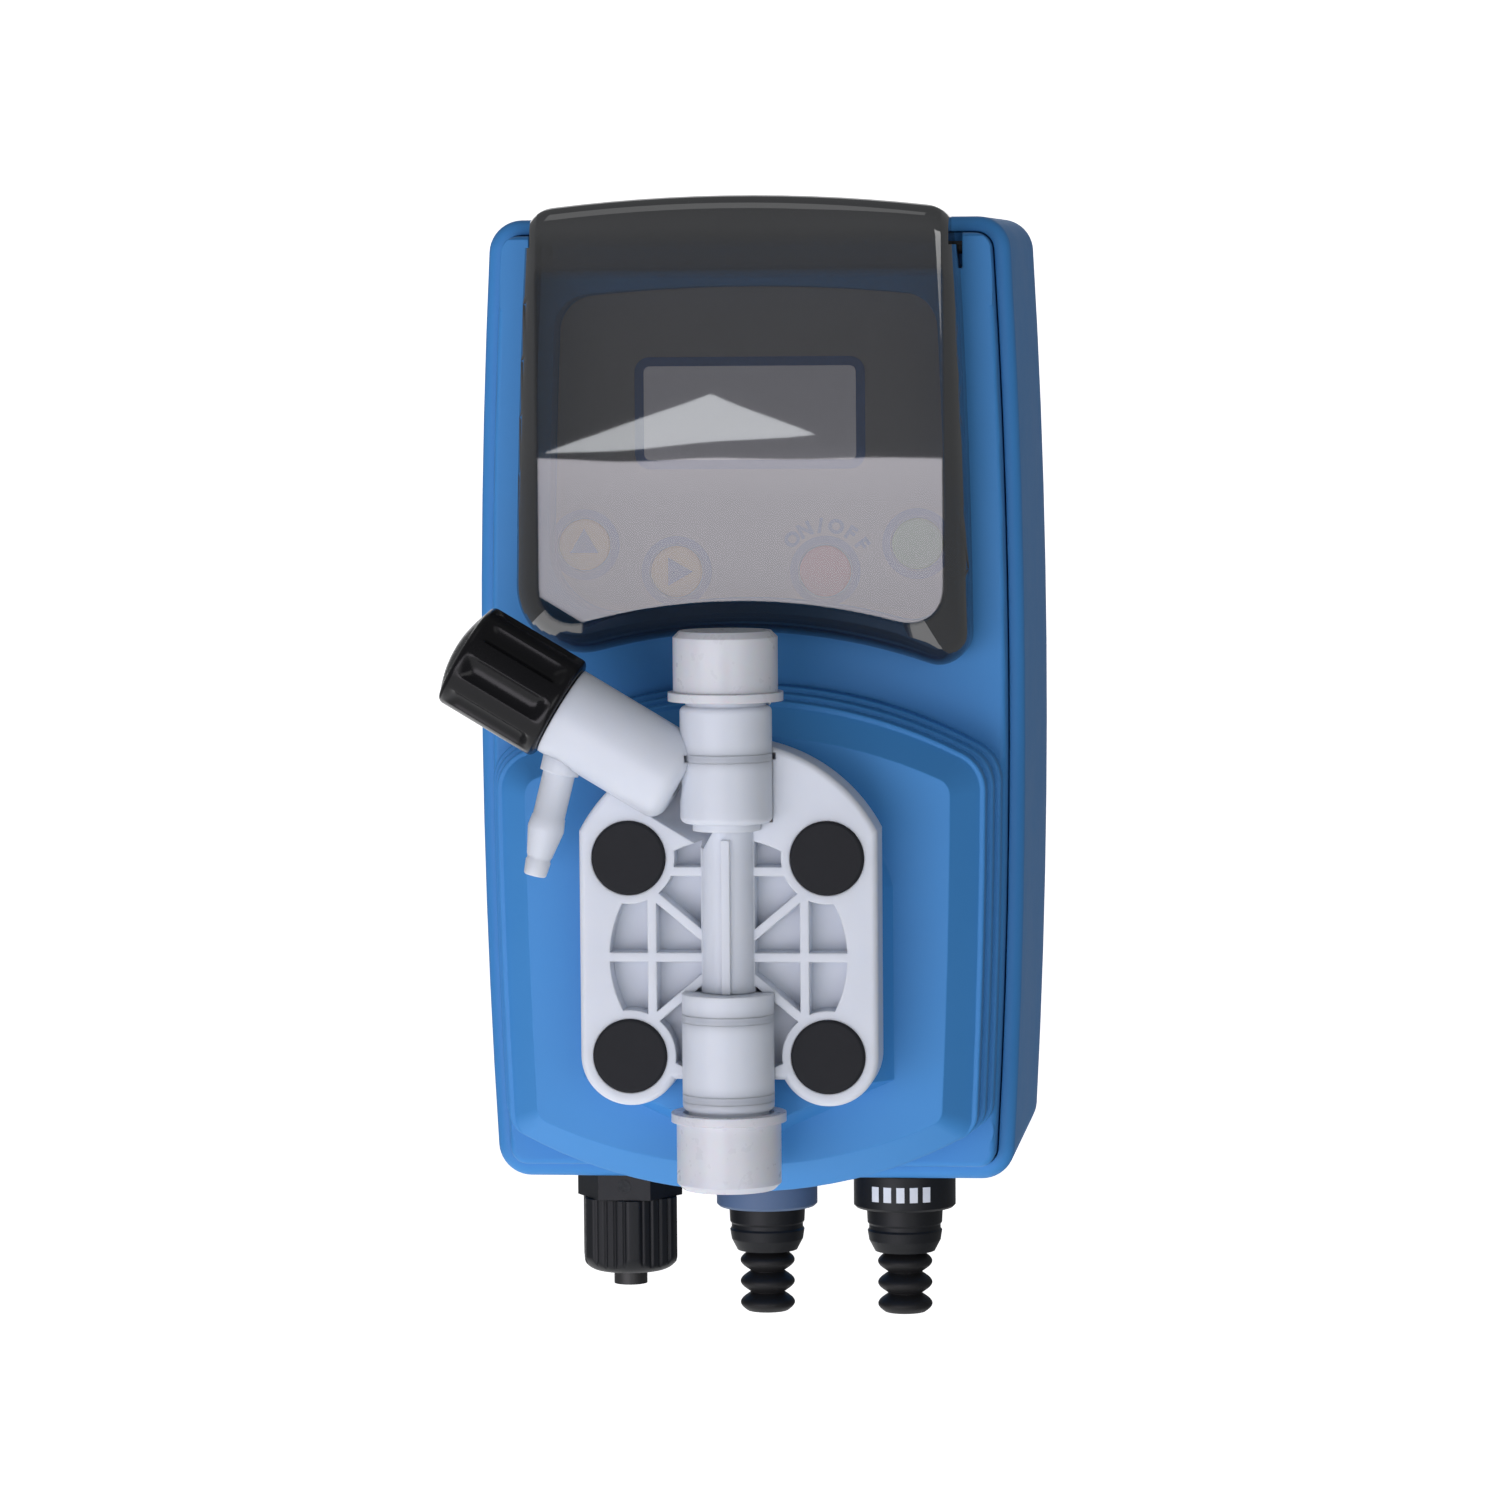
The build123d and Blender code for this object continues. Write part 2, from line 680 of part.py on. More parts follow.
with BuildPart() as solenoid_yoke:
    add(turned_on_pump_axis([(coil_radius + seat_gap, coil_back - end_plate),
                             (yoke_radius, coil_back - end_plate),
                             (yoke_radius, flange_back), (coil_radius + seat_gap, flange_back)]))
keep(solenoid_yoke, "solenoid_yoke")

with BuildPart() as guide_tube:
    add(turned_on_pump_axis([(guide_inner, coil_back), (guide_outer, coil_back),
                             (guide_outer, flange_back), (guide_inner, flange_back)]))
keep(guide_tube, "guide_tube")

winding_radius = coil_radius - 1.5
with BuildPart() as solenoid_coil:
    add(turned_on_pump_axis([(guide_outer + seat_gap, coil_back), (coil_radius, coil_back),
                             (coil_radius, coil_back + coil_cheek), (winding_radius, coil_back + coil_cheek),
                             (winding_radius, coil_front - coil_cheek),
                             (coil_radius, coil_front - coil_cheek),
                             (coil_radius, coil_front), (guide_outer + seat_gap, coil_front)]))
keep(solenoid_coil, "solenoid_coil")

with BuildPart() as solenoid_cap:
    add(turned_on_pump_axis([(0, coil_back - 2 * end_plate), (yoke_radius, coil_back - 2 * end_plate),
                             (yoke_radius, coil_back - end_plate), (coil_radius, coil_back - end_plate),
                             (coil_radius, coil_back - seat_gap),
                             (guide_inner - seat_gap, coil_back - seat_gap),
                             (guide_inner - seat_gap, plunger_back - seat_gap),
                             (0, plunger_back - seat_gap)]))
keep(solenoid_cap, "solenoid_cap")

with BuildPart() as plunger:
    add(turned_on_pump_axis([(0, plunger_back), (plunger_radius, plunger_back),
                             (plunger_radius, plunger_front), (0, plunger_front)]))
keep(plunger, "plunger")

with BuildPart() as push_rod:
    add(turned_on_pump_axis([(0, plunger_front), (rod_radius, plunger_front),
                             (rod_radius, head_back - seat_gap), (0, head_back - seat_gap)]))
keep(push_rod, "push_rod")

with BuildPart() as return_spring:
    add(turned_on_pump_axis([(spring_inner, plunger_front + seat_gap),
                             (spring_outer, plunger_front + seat_gap),
                             (spring_outer, spring_pocket - seat_gap),
                             (spring_inner, spring_pocket - seat_gap)]))
keep(return_spring, "return_spring")

flex_drop = 1.5              # the ring falls away behind the flexing part of the diaphragm
with BuildPart() as support_ring:
    add(turned_on_pump_axis([(rod_radius + flex_drop, flange_depth), (ring_radius, flange_depth),
                             (ring_radius, head_back), (flex_radius, head_back),
                             (flex_radius - 2 * flex_drop, head_back - flex_drop),
                             (rod_radius + flex_drop, head_back - flex_drop)]))
keep(support_ring, "support_ring")

diaphragm_back = head_back + 0.02
diaphragm_front = head_back + diaphragm_thickness
web_front = head_back + 0.6 * diaphragm_thickness
with BuildPart() as diaphragm:
    add(turned_on_pump_axis([(0, diaphragm_back), (diaphragm_radius, diaphragm_back),
                             (diaphragm_radius, diaphragm_front), (flex_radius, diaphragm_front),
                             (flex_radius - 2, web_front), (2 * rod_radius, web_front),
                             (2 * rod_radius - 1, diaphragm_front), (0, diaphragm_front)]))
keep(diaphragm, "diaphragm")

# ---- pump head ---------------------------------------------------------------------------
tube_radius = 5.1
tube_depth = head_depth - 0.3 * tube_radius
chamber_depth = head_back + chamber_length
passage = 2.0
tube_bore = 2.4

collar_foot = delivery_foot - collar_length
with BuildPart() as pump_head:
    with BuildSketch(front(head_back + 0.02)):
        with Locations((0, pump_z + head_arch_rise)):
            Circle(head_arch_radius)
            Rectangle(2 * head_half_width, head_screw + head_arch_rise, align=(Align.CENTER, Align.MAX))
        with Locations((0, pump_z - head_screw)):
            Rectangle(2 * head_half_width, 3 * head_arch_radius, align=(Align.CENTER, Align.MIN),
                      mode=Mode.INTERSECT)
        with Locations((-head_screw, pump_z - head_screw), (head_screw, pump_z - head_screw)):
            Circle(head_half_width - head_screw)
        with Locations((0, pump_z)):
            Rectangle(head_screw_pitch, head_web_drop, align=(Align.CENTER, Align.MAX))
    extrude(amount=head_thickness - 0.02)
    fillet(pump_head.faces().sort_by(Axis.Y)[0].edges(), head_round)
    # rib field
    with BuildSketch(front(head_depth - rib_field_depth)):
        with Locations((0, pump_z)):
            Circle(rib_field_radius)
        with Locations(*head_screws_at):
            Circle(cap_pocket_radius + rib_thickness, mode=Mode.SUBTRACT)
        with Locations((0, pump_z), (0, pump_z + rib_row)):
            Rectangle(2 * rib_field_radius, rib_thickness, mode=Mode.SUBTRACT)
        with Locations((-rib_column, pump_z), (rib_column, pump_z)):
            Rectangle(rib_thickness, 2 * rib_field_radius, mode=Mode.SUBTRACT)
        for tilt in (-rib_slope, rib_slope):
            with Locations(Location((0, pump_z), tilt)):
                Rectangle(2 * rib_field_radius, rib_thickness, mode=Mode.SUBTRACT)
        with Locations((0, pump_z)):
            Rectangle(2 * tube_radius, 2 * rib_field_radius, mode=Mode.SUBTRACT)
    extrude(amount=rib_field_depth + 1, mode=Mode.SUBTRACT)
    # flow tube with its centre rib
    with Locations(Plane(origin=(0, -tube_depth, suction_shoulder))):
        Cylinder(tube_radius, collar_foot - suction_shoulder, align=on_foot)
        with Locations((0, -tube_radius, 0)):
            Box(rib_thickness, rib_thickness, collar_foot - rib_thickness - suction_shoulder,
                align=on_foot)
    # pockets of the screw caps and holes of the screws
    with BuildSketch(front(head_depth - cap_pocket_depth)):
        with Locations(*head_screws_at):
            Circle(cap_pocket_radius + seat_gap)
    extrude(amount=cap_pocket_depth + 1, mode=Mode.SUBTRACT)
    with BuildSketch(front(head_back - 1)):
        with Locations(*head_screws_at):
            Circle(screw_radius + 0.2)
    extrude(amount=head_depth, mode=Mode.SUBTRACT)
    # seats of the two valves and of the bleed branch
    with Locations(Plane(origin=(0, -valve_depth, delivery_foot))):
        Cylinder(valve_radius + seat_gap, 2 * delivery_body, align=on_foot,
                 mode=Mode.SUBTRACT)
        Cylinder(collar_radius + seat_gap, 2 * collar_length, mode=Mode.SUBTRACT)
    for ring_z in (delivery_ring_z, *suction_ring_zs):
        with Locations((0, -valve_depth, ring_z)):
            Cylinder(ring_reach, 2 * ring_minor, mode=Mode.SUBTRACT)
    with Locations(Plane(origin=(0, -valve_depth, suction_shoulder))):
        Cylinder(valve_radius + seat_gap, 2 * suction_body, align=(Align.CENTER, Align.CENTER, Align.MAX),
                 mode=Mode.SUBTRACT)
    with Locations(Plane(origin=(0, -valve_depth, bleed_foot), x_dir=(0, 1, 0), z_dir=bleed_dir)):
        Cylinder(bleed_radius + seat_gap, bleed_length, align=on_foot,
                 mode=Mode.SUBTRACT)
    # diaphragm seat, pumping chamber and passages
    add(turned_on_pump_axis([(0, head_back), (diaphragm_radius + seat_gap, head_back),
                             (diaphragm_radius + seat_gap, diaphragm_front + 0.02),
                             (flex_radius, diaphragm_front + 0.02), (flex_radius - 2, chamber_depth),
                             (passage, chamber_depth), (passage, tube_depth), (0, tube_depth)]),
        mode=Mode.SUBTRACT)
    with Locations(Plane(origin=(0, -tube_depth, suction_shoulder - 1))):
        Cylinder(tube_bore, delivery_foot + 4 - suction_shoulder, align=on_foot,
                 mode=Mode.SUBTRACT)
keep(pump_head, "pump_head")

with BuildPart() as head_screws:
    with BuildSketch(front(flange_back)):
        with Locations(*head_screws_at):
            Circle(screw_radius)
    extrude(amount=head_depth - cap_pocket_depth - flange_back)
    with BuildSketch(front(head_depth - cap_pocket_depth)):
        with Locations(*head_screws_at):
            Circle(screw_head_radius)
            RegularPolygon(screw_head_radius / 2, 6, mode=Mode.SUBTRACT)
    extrude(amount=screw_head_height)
keep(head_screws, "head_screws")

with BuildPart() as screw_caps:
    with BuildSketch(front(head_depth - cap_pocket_depth + 0.02)):
        with Locations(*head_screws_at):
            Circle(cap_pocket_radius)
    extrude(amount=cap_pocket_depth + cap_proud)
    fillet(screw_caps.faces().group_by(Axis.Y)[0].edges(), cap_proud)
    with BuildSketch(front(head_depth - cap_pocket_depth)):
        with Locations(*head_screws_at):
            Circle(screw_head_radius + 0.1)
    extrude(amount=screw_head_height + 0.1, mode=Mode.SUBTRACT)
keep(screw_caps, "screw_caps")

# ---- valves ------------------------------------------------------------------------------
bore_radius = port_bore + 1
seat_height = 3.0
seat_bore = 2.2
ball_rise = (ball_radius**2 - seat_bore**2) ** 0.5
cage_height = ball_rise + ball_radius + ball_lift + 1.1
cage_top = collar_foot + seat_height + cage_height
neck_radius = port_radius - thread_depth
ring_floor = valve_radius - groove_depth
branch_start = bore_radius * 2
spindle_radius = 3.0
spindle_start = branch_start + 4
knob_socket = 12.0
bleed_seal_at = 24.0
nozzle_at = 34.0             # along the bleed branch
nozzle_lean = 14.0
nozzle_radius = 3.2
nozzle_foot_radius = 3.7
nozzle_bore = 1.3
nozzle_seat = 4.6
nozzle_shoulder = 10.8
bleed_plane = Plane(origin=(0, -valve_depth, bleed_foot), x_dir=(0, 1, 0), z_dir=bleed_dir)
nozzle_plane = Plane(origin=bleed_plane.origin + bleed_plane.z_dir * nozzle_at, x_dir=(0, 1, 0),
                     z_dir=(-sin(radians(nozzle_lean)), 0, -cos(radians(nozzle_lean))))


def ring_groove(z):
    """Groove for an O-ring around the valve axis."""
    return turned(0, valve_depth, [(ring_floor, z - ring_minor), (valve_radius + 1, z - ring_minor),
                                   (valve_radius + 1, z + ring_minor), (ring_floor, z + ring_minor)])


with BuildPart() as bleed_branch:
    with BuildSketch(bleed_plane.offset(branch_start)):
        Circle(bleed_radius)
    extrude(amount=bleed_length - branch_start)
    fillet(bleed_branch.faces().sort_by(Axis(bleed_plane.origin, bleed_dir))[0].edges(), bleed_round)

with BuildPart() as delivery_barrel:
    add(turned(0, valve_depth, [(0, delivery_foot), (valve_radius, delivery_foot),
                                (valve_radius, delivery_shoulder), (0, delivery_shoulder)]))
    fillet(delivery_barrel.edges().filter_by(GeomType.CIRCLE), valve_round)

with BuildPart() as delivery_valve_body:
    add(delivery_barrel.part)
    add(bleed_branch.part)
    add(turned(0, valve_depth, [(0, collar_foot), (collar_radius, collar_foot),
                                (collar_radius, delivery_foot + valve_round),
                                (neck_radius, delivery_foot + valve_round),
                                (neck_radius, delivery_shoulder + neck_length),
                                (port_radius, delivery_shoulder + neck_length),
                                (port_radius, delivery_top - thread_depth),
                                (neck_radius, delivery_top), (0, delivery_top)]))
    add(ring_groove(delivery_ring_z), mode=Mode.SUBTRACT)
    add(turned(0, valve_depth, [(0, collar_foot - 1), (bore_radius, collar_foot - 1),
                                (bore_radius, cage_top + 0.1), (port_bore, cage_top + 1.1),
                                (port_bore, delivery_top + 1), (0, delivery_top + 1)]), mode=Mode.SUBTRACT)
    with Locations(bleed_plane):
        Cylinder(spindle_radius + running_gap, bleed_length + 1, align=on_foot, mode=Mode.SUBTRACT)
        with Locations((0, 0, bleed_seal_at)):
            Cylinder(spindle_radius + 2 * ring_minor + 0.1, 2.2 * ring_minor, mode=Mode.SUBTRACT)
    with Locations(nozzle_plane):
        Cylinder(nozzle_bore, nozzle_shoulder, align=on_foot, mode=Mode.SUBTRACT)
        with Locations((0, 0, nozzle_seat)):
            Cylinder(nozzle_foot_radius + seat_gap, nozzle_shoulder, align=on_foot, mode=Mode.SUBTRACT)
keep(delivery_valve_body, "delivery_valve_body")

suction_seat_foot = suction_shoulder - seat_height - cage_height - 0.1
with BuildPart() as suction_valve_body:
    add(turned(0, valve_depth, [(0, suction_shoulder), (valve_radius, suction_shoulder),
                                (valve_radius, suction_collar), (0, suction_collar)]))
    fillet(suction_valve_body.faces().sort_by(Axis.Z)[0].edges(), valve_round)
    add(turned(0, valve_depth, [(0, suction_shoulder), (neck_radius, suction_shoulder),
                                (neck_radius, suction_collar - neck_length),
                                (port_radius, suction_collar - neck_length),
                                (port_radius, suction_end + thread_depth),
                                (neck_radius, suction_end), (0, suction_end)]))
    for ring_z in suction_ring_zs:
        add(ring_groove(ring_z), mode=Mode.SUBTRACT)
    add(turned(0, valve_depth, [(0, suction_shoulder + 1), (bore_radius, suction_shoulder + 1),
                                (bore_radius, suction_seat_foot), (port_bore, suction_seat_foot),
                                (port_bore, suction_end - 1), (0, suction_end - 1)]), mode=Mode.SUBTRACT)
keep(suction_valve_body, "suction_valve_body")

insert_outer = bore_radius - 0.02
cage_bore = ball_radius + free_gap
for name, foot in (("delivery", collar_foot), ("suction", suction_seat_foot)):
    seat_top = foot + seat_height
    with BuildPart() as seat:
        add(turned(0, valve_depth, [(seat_bore, foot), (insert_outer, foot), (insert_outer, seat_top),
                                    (seat_bore, seat_top)]))
    keep(seat, f"{name}_seat")
    with BuildPart() as cage:
        add(turned(0, valve_depth, [(cage_bore, seat_top), (insert_outer, seat_top),
                                    (insert_outer, seat_top + cage_height),
                                    (passage, seat_top + cage_height), (passage, seat_top + cage_height - 1),
                                    (cage_bore, seat_top + cage_height - 1)]))
    keep(cage, f"{name}_cage")
    with BuildPart() as ball:
        with Locations((0, -valve_depth, seat_top + ball_rise + 0.03)):
            Sphere(ball_radius)
    keep(ball, f"{name}_ball")


def o_ring(z):
    """O-ring in its groove around the valve axis."""
    with BuildPart() as ring:
        with BuildSketch(Plane(origin=(0, -valve_depth, z), x_dir=(1, 0, 0), z_dir=(0, -1, 0))):
            with Locations((ring_floor + ring_minor, 0)):
                Circle(ring_minor - 0.02)
        revolve(axis=Axis((0, -valve_depth, 0), (0, 0, 1)))
    return ring.part


with BuildPart() as delivery_o_ring:
    add(o_ring(delivery_ring_z))
keep(delivery_o_ring, "delivery_o_ring")

with BuildPart() as suction_o_rings:
    for ring_z in suction_ring_zs:
        add(o_ring(ring_z))
keep(suction_o_rings, "suction_o_rings")

# dust caps
cap_wall = 1.25
cap_flange_height = 1.7
cap_end = 2.0
cap_round = 1.2
cap_inner = port_radius + free_gap
cap_outer = cap_inner + cap_wall
cap_flange = cap_outer + 1.0
delivery_cap_foot = delivery_shoulder + 0.9
suction_cap_top = suction_collar - 0.3


def dust_cap(mouth, end, way):
    """Cap over a port: open at mouth, closed at end, with way +1 where it points up."""
    crown = end + way * (free_gap + cap_end)
    return turned(0, valve_depth, [(cap_inner, mouth), (cap_flange, mouth),
                                   (cap_flange, mouth + way * cap_flange_height),
                                   (cap_outer, mouth + way * cap_flange_height),
                                   (cap_outer, crown - way * cap_round),
                                   (cap_outer - cap_round, crown), (0, crown), (0, end + way * free_gap),
                                   (cap_inner, end + way * free_gap)])


with BuildPart() as delivery_cap:
    add(dust_cap(delivery_cap_foot, delivery_top, 1))
keep(delivery_cap, "delivery_cap")

with BuildPart() as suction_cap:
    add(dust_cap(suction_cap_top, suction_end, -1))
keep(suction_cap, "suction_cap")

# ---- bleed valve -------------------------------------------------------------------------
knob_start = bleed_length + free_gap
knob_skirt = 2.0
with BuildPart() as bleed_knob:
    with BuildSketch(bleed_plane.offset(knob_start)):
        Circle(knob_radius)
        with PolarLocations(knob_radius + flute_standoff, knob_flutes):
            Circle(flute_radius, mode=Mode.SUBTRACT)
    extrude(amount=knob_length)
    fillet(bleed_knob.faces().sort_by(Axis(bleed_plane.origin, bleed_dir))[-1].edges(), 1.0)
    with BuildSketch(bleed_plane.offset(knob_start)):
        Circle(knob_radius - flute_radius + flute_standoff - 0.8)
        Circle(spindle_radius + knob_skirt, mode=Mode.SUBTRACT)
    extrude(amount=knob_skirt, mode=Mode.SUBTRACT)
    with BuildSketch(bleed_plane.offset(knob_start)):
        Circle(spindle_radius + 0.02)
    extrude(amount=knob_socket, mode=Mode.SUBTRACT)
keep(bleed_knob, "bleed_knob")

with BuildPart() as bleed_spindle:
    with BuildSketch(bleed_plane.offset(spindle_start)):
        Circle(spindle_radius)
    extrude(amount=knob_start + knob_socket - spindle_start)
    tip = bleed_spindle.faces().sort_by(Axis(bleed_plane.origin, bleed_dir))[0]
    chamfer(tip.edges(), spindle_radius / 2)
keep(bleed_spindle, "bleed_spindle")

with BuildPart() as bleed_o_ring:
    with BuildSketch(Plane(origin=bleed_plane.origin + bleed_plane.z_dir * bleed_seal_at, x_dir=bleed_dir,
                           z_dir=(0, -1, 0))):
        with Locations((0, spindle_radius + ring_minor + running_gap)):
            Circle(ring_minor)
    revolve(axis=Axis(bleed_plane.origin, bleed_dir))
keep(bleed_o_ring, "bleed_o_ring")

# hose nozzle with three barbs, leaning outwards
barb_start = 19.5
barb_pitch = 3.8
barb_length = 3.2
barb_root = 2.3
barb_count = 3
nozzle_end = barb_start + barb_count * barb_pitch
with BuildPart() as bleed_nozzle:
    with Locations(nozzle_plane):
        with Locations((0, 0, nozzle_seat)):
            Cylinder(nozzle_foot_radius, nozzle_shoulder - nozzle_seat, align=on_foot)
        with Locations((0, 0, nozzle_shoulder)):
            Cylinder(nozzle_radius, barb_start - nozzle_shoulder, align=on_foot)
        with Locations((0, 0, barb_start)):
            Cylinder(barb_root, nozzle_end - barb_start, align=on_foot)
        for barb in range(barb_count):
            with Locations((0, 0, barb_start + barb * barb_pitch)):
                Cone(nozzle_radius - 0.1, barb_root, barb_length, align=on_foot)
        Cylinder(nozzle_bore, nozzle_end + 1, align=on_foot, mode=Mode.SUBTRACT)
keep(bleed_nozzle, "bleed_nozzle")

# ---- cable gland and the two sockets on the underside ------------------------------------
gland_x, signal_x, level_x = connector_xs
underside = -half_height
thread_radius = connector_hole - seat_gap
gland_hex = 10.45            # across corners, radius
gland_hex_height = 5.1
gland_neck = 7.0
nut_radius = 10.45
nut_height = 14.9
nut_ribs = 24
rib_groove = 0.6
gland_bore = 3.6
seal_radius = 7.2
stub_length = 2.8
locknut_size = 8.6
locknut_height = 2.4
thread_stub = 5.0
hex_foot = underside - gland_hex_height
nut_foot = hex_foot - nut_height
seal_top = hex_foot - gland_neck - 4 * free_gap
seal_foot = nut_foot + 1.9
inner_face = underside + case_wall

with BuildPart() as gland_body:
    with BuildSketch(Plane(origin=(gland_x, -connector_depth, hex_foot))):
        RegularPolygon(gland_hex, 6)
    extrude(amount=underside - hex_foot)
    add(turned(gland_x, connector_depth, [(0, hex_foot - gland_neck), (seal_radius, hex_foot - gland_neck),
                                          (seal_radius, hex_foot + 1), (thread_radius, hex_foot + 1),
                                          (thread_radius, inner_face + thread_stub),
                                          (0, inner_face + thread_stub)]))
    with Locations(Plane(origin=(gland_x, -connector_depth, nut_foot))):
        Cylinder(gland_bore, 2 * nut_height + case_wall, align=on_foot, mode=Mode.SUBTRACT)
keep(gland_body, "gland_body")

with BuildPart() as gland_locknut:
    with BuildSketch(Plane(origin=(gland_x, -connector_depth, inner_face + 0.02))):
        RegularPolygon(locknut_size, 6)
        Circle(thread_radius + seat_gap, mode=Mode.SUBTRACT)
    extrude(amount=locknut_height)
keep(gland_locknut, "gland_locknut")

with BuildPart() as gland_seal:
    add(turned(gland_x, connector_depth, [(0, seal_top), (seal_radius, seal_top),
                                          (seal_radius, seal_foot + 1.5),
                                          (gland_bore - free_gap, seal_foot),
                                          (gland_bore - free_gap, nut_foot - stub_length),
                                          (0, nut_foot - stub_length)]))
keep(gland_seal, "gland_seal")

nut_bore = seal_radius + free_gap
with BuildPart() as gland_nut:
    add(turned(gland_x, connector_depth, [(nut_bore, hex_foot - 0.1), (nut_radius, hex_foot - 0.1),
                                          (nut_radius, nut_foot + nut_height / 3),
                                          (nut_radius - 1.2, nut_foot + nut_height / 6),
                                          (gland_bore + 2.6, nut_foot), (gland_bore, nut_foot),
                                          (gland_bore, seal_foot - free_gap), (nut_bore, seal_foot + 1.2)]))
    with BuildSketch(Plane(origin=(gland_x, -connector_depth, nut_foot + nut_height / 4))):
        with PolarLocations(nut_radius + rib_groove / 2, nut_ribs):
            Circle(rib_groove)
    extrude(amount=0.6 * nut_height, mode=Mode.SUBTRACT)
keep(gland_nut, "gland_nut")

socket_height = 7.0
spigot_radius = 5.2
spigot_reach = 2.0
plug_radius = 7.4
plug_height = 8.7
plug_waist = 0.3
boot_radius = 5.95
boot_waist = 1.7
boot_length = 12.2
boot_folds = 3
socket_foot = underside - socket_height
spigot_top = underside + spigot_reach
plug_top = socket_foot - 0.1
plug_foot = plug_top - plug_height
boot_foot = plug_foot - boot_length
boot_top = plug_foot - 0.02

for name, x, flange in (("signal", signal_x, connector_flange), ("level", level_x, connector_flange + 0.1)):
    with BuildPart() as socket:
        add(turned(x, connector_depth, [(spigot_radius + running_gap, socket_foot),
                                        (flange - 0.5, socket_foot),
                                        (flange, socket_foot + 0.5), (flange, underside - 0.02),
                                        (thread_radius, underside - 0.02),
                                        (thread_radius, inner_face + thread_stub + 1),
                                        (0, inner_face + thread_stub + 1), (0, spigot_top + 1),
                                        (spigot_radius + running_gap, spigot_top + 1)]))
    keep(socket, f"{name}_socket")
    with BuildPart() as locknut:
        with BuildSketch(Plane(origin=(x, -connector_depth, inner_face + 0.02))):
            RegularPolygon(locknut_size, 6)
            Circle(thread_radius + seat_gap, mode=Mode.SUBTRACT)
        extrude(amount=locknut_height)
    keep(locknut, f"{name}_locknut")
    with BuildPart() as plug:
        waist = plug_radius - plug_waist
        add(turned(x, connector_depth, [(0, spigot_top), (spigot_radius, spigot_top),
                                        (spigot_radius, plug_top), (plug_radius + plug_waist / 2, plug_top),
                                        (plug_radius, plug_top - 3.0),
                                        (waist, plug_top - 3.4), (waist, plug_top - 4.2),
                                        (plug_radius, plug_top - 4.6), (waist, plug_foot + 2.2),
                                        (boot_radius, plug_foot), (boot_radius / 2, plug_foot),
                                        (boot_radius / 2, plug_foot + 4), (0, plug_foot + 4)]))
    keep(plug, f"{name}_plug")
    fold = boot_length / boot_folds
    cable_bore = boot_radius - 3.5
    outline = [(cable_bore, boot_top), (boot_radius - boot_waist, boot_top)]
    for turn in range(boot_folds):
        crest_z = plug_foot - fold * (turn + 0.5)
        outline += [(boot_radius, crest_z + 0.9), (boot_radius, crest_z - 0.9)]
        if turn < boot_folds - 1:
            outline += [(boot_radius - boot_waist, crest_z - fold / 2)]
    outline += [(boot_radius - 0.8, boot_foot), (cable_bore, boot_foot)]
    with BuildPart() as boot:
        add(turned(x, connector_depth, outline))
    keep(boot, f"{name}_boot")
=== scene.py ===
import json
from math import cos, pi, radians, sin, sqrt

import bmesh
import bpy
from mathutils import Matrix, Vector


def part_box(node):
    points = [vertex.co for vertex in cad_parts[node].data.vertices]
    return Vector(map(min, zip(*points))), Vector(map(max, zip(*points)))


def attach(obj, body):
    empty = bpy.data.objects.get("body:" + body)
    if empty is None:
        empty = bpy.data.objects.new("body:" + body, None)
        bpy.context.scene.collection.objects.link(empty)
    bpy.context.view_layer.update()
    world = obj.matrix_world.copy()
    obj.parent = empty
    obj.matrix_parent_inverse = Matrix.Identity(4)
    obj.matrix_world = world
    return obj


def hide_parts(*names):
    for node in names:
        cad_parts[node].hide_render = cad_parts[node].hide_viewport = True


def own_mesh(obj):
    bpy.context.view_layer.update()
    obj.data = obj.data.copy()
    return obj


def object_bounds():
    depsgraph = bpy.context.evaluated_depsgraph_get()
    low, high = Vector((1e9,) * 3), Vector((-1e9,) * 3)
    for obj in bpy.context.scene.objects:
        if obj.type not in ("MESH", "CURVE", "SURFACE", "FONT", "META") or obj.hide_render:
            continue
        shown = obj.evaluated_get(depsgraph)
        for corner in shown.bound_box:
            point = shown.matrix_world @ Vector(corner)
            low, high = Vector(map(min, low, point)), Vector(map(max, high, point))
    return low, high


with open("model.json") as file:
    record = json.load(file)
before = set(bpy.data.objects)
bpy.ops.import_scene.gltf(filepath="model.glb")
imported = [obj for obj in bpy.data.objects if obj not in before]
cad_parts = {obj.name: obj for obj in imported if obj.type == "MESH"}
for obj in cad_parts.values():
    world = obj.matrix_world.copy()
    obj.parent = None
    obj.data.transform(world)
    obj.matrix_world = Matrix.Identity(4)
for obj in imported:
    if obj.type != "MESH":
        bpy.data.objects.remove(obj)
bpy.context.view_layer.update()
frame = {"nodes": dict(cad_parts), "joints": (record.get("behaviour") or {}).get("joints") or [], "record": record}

# ---- Case ---------------------------------------------------------------------------------
# Rear housing and stepped front shell, both injection moulded in blue glass-filled
# polypropylene. The tools are spark eroded, so every outer face has a fine even grain.
mm = 0.001


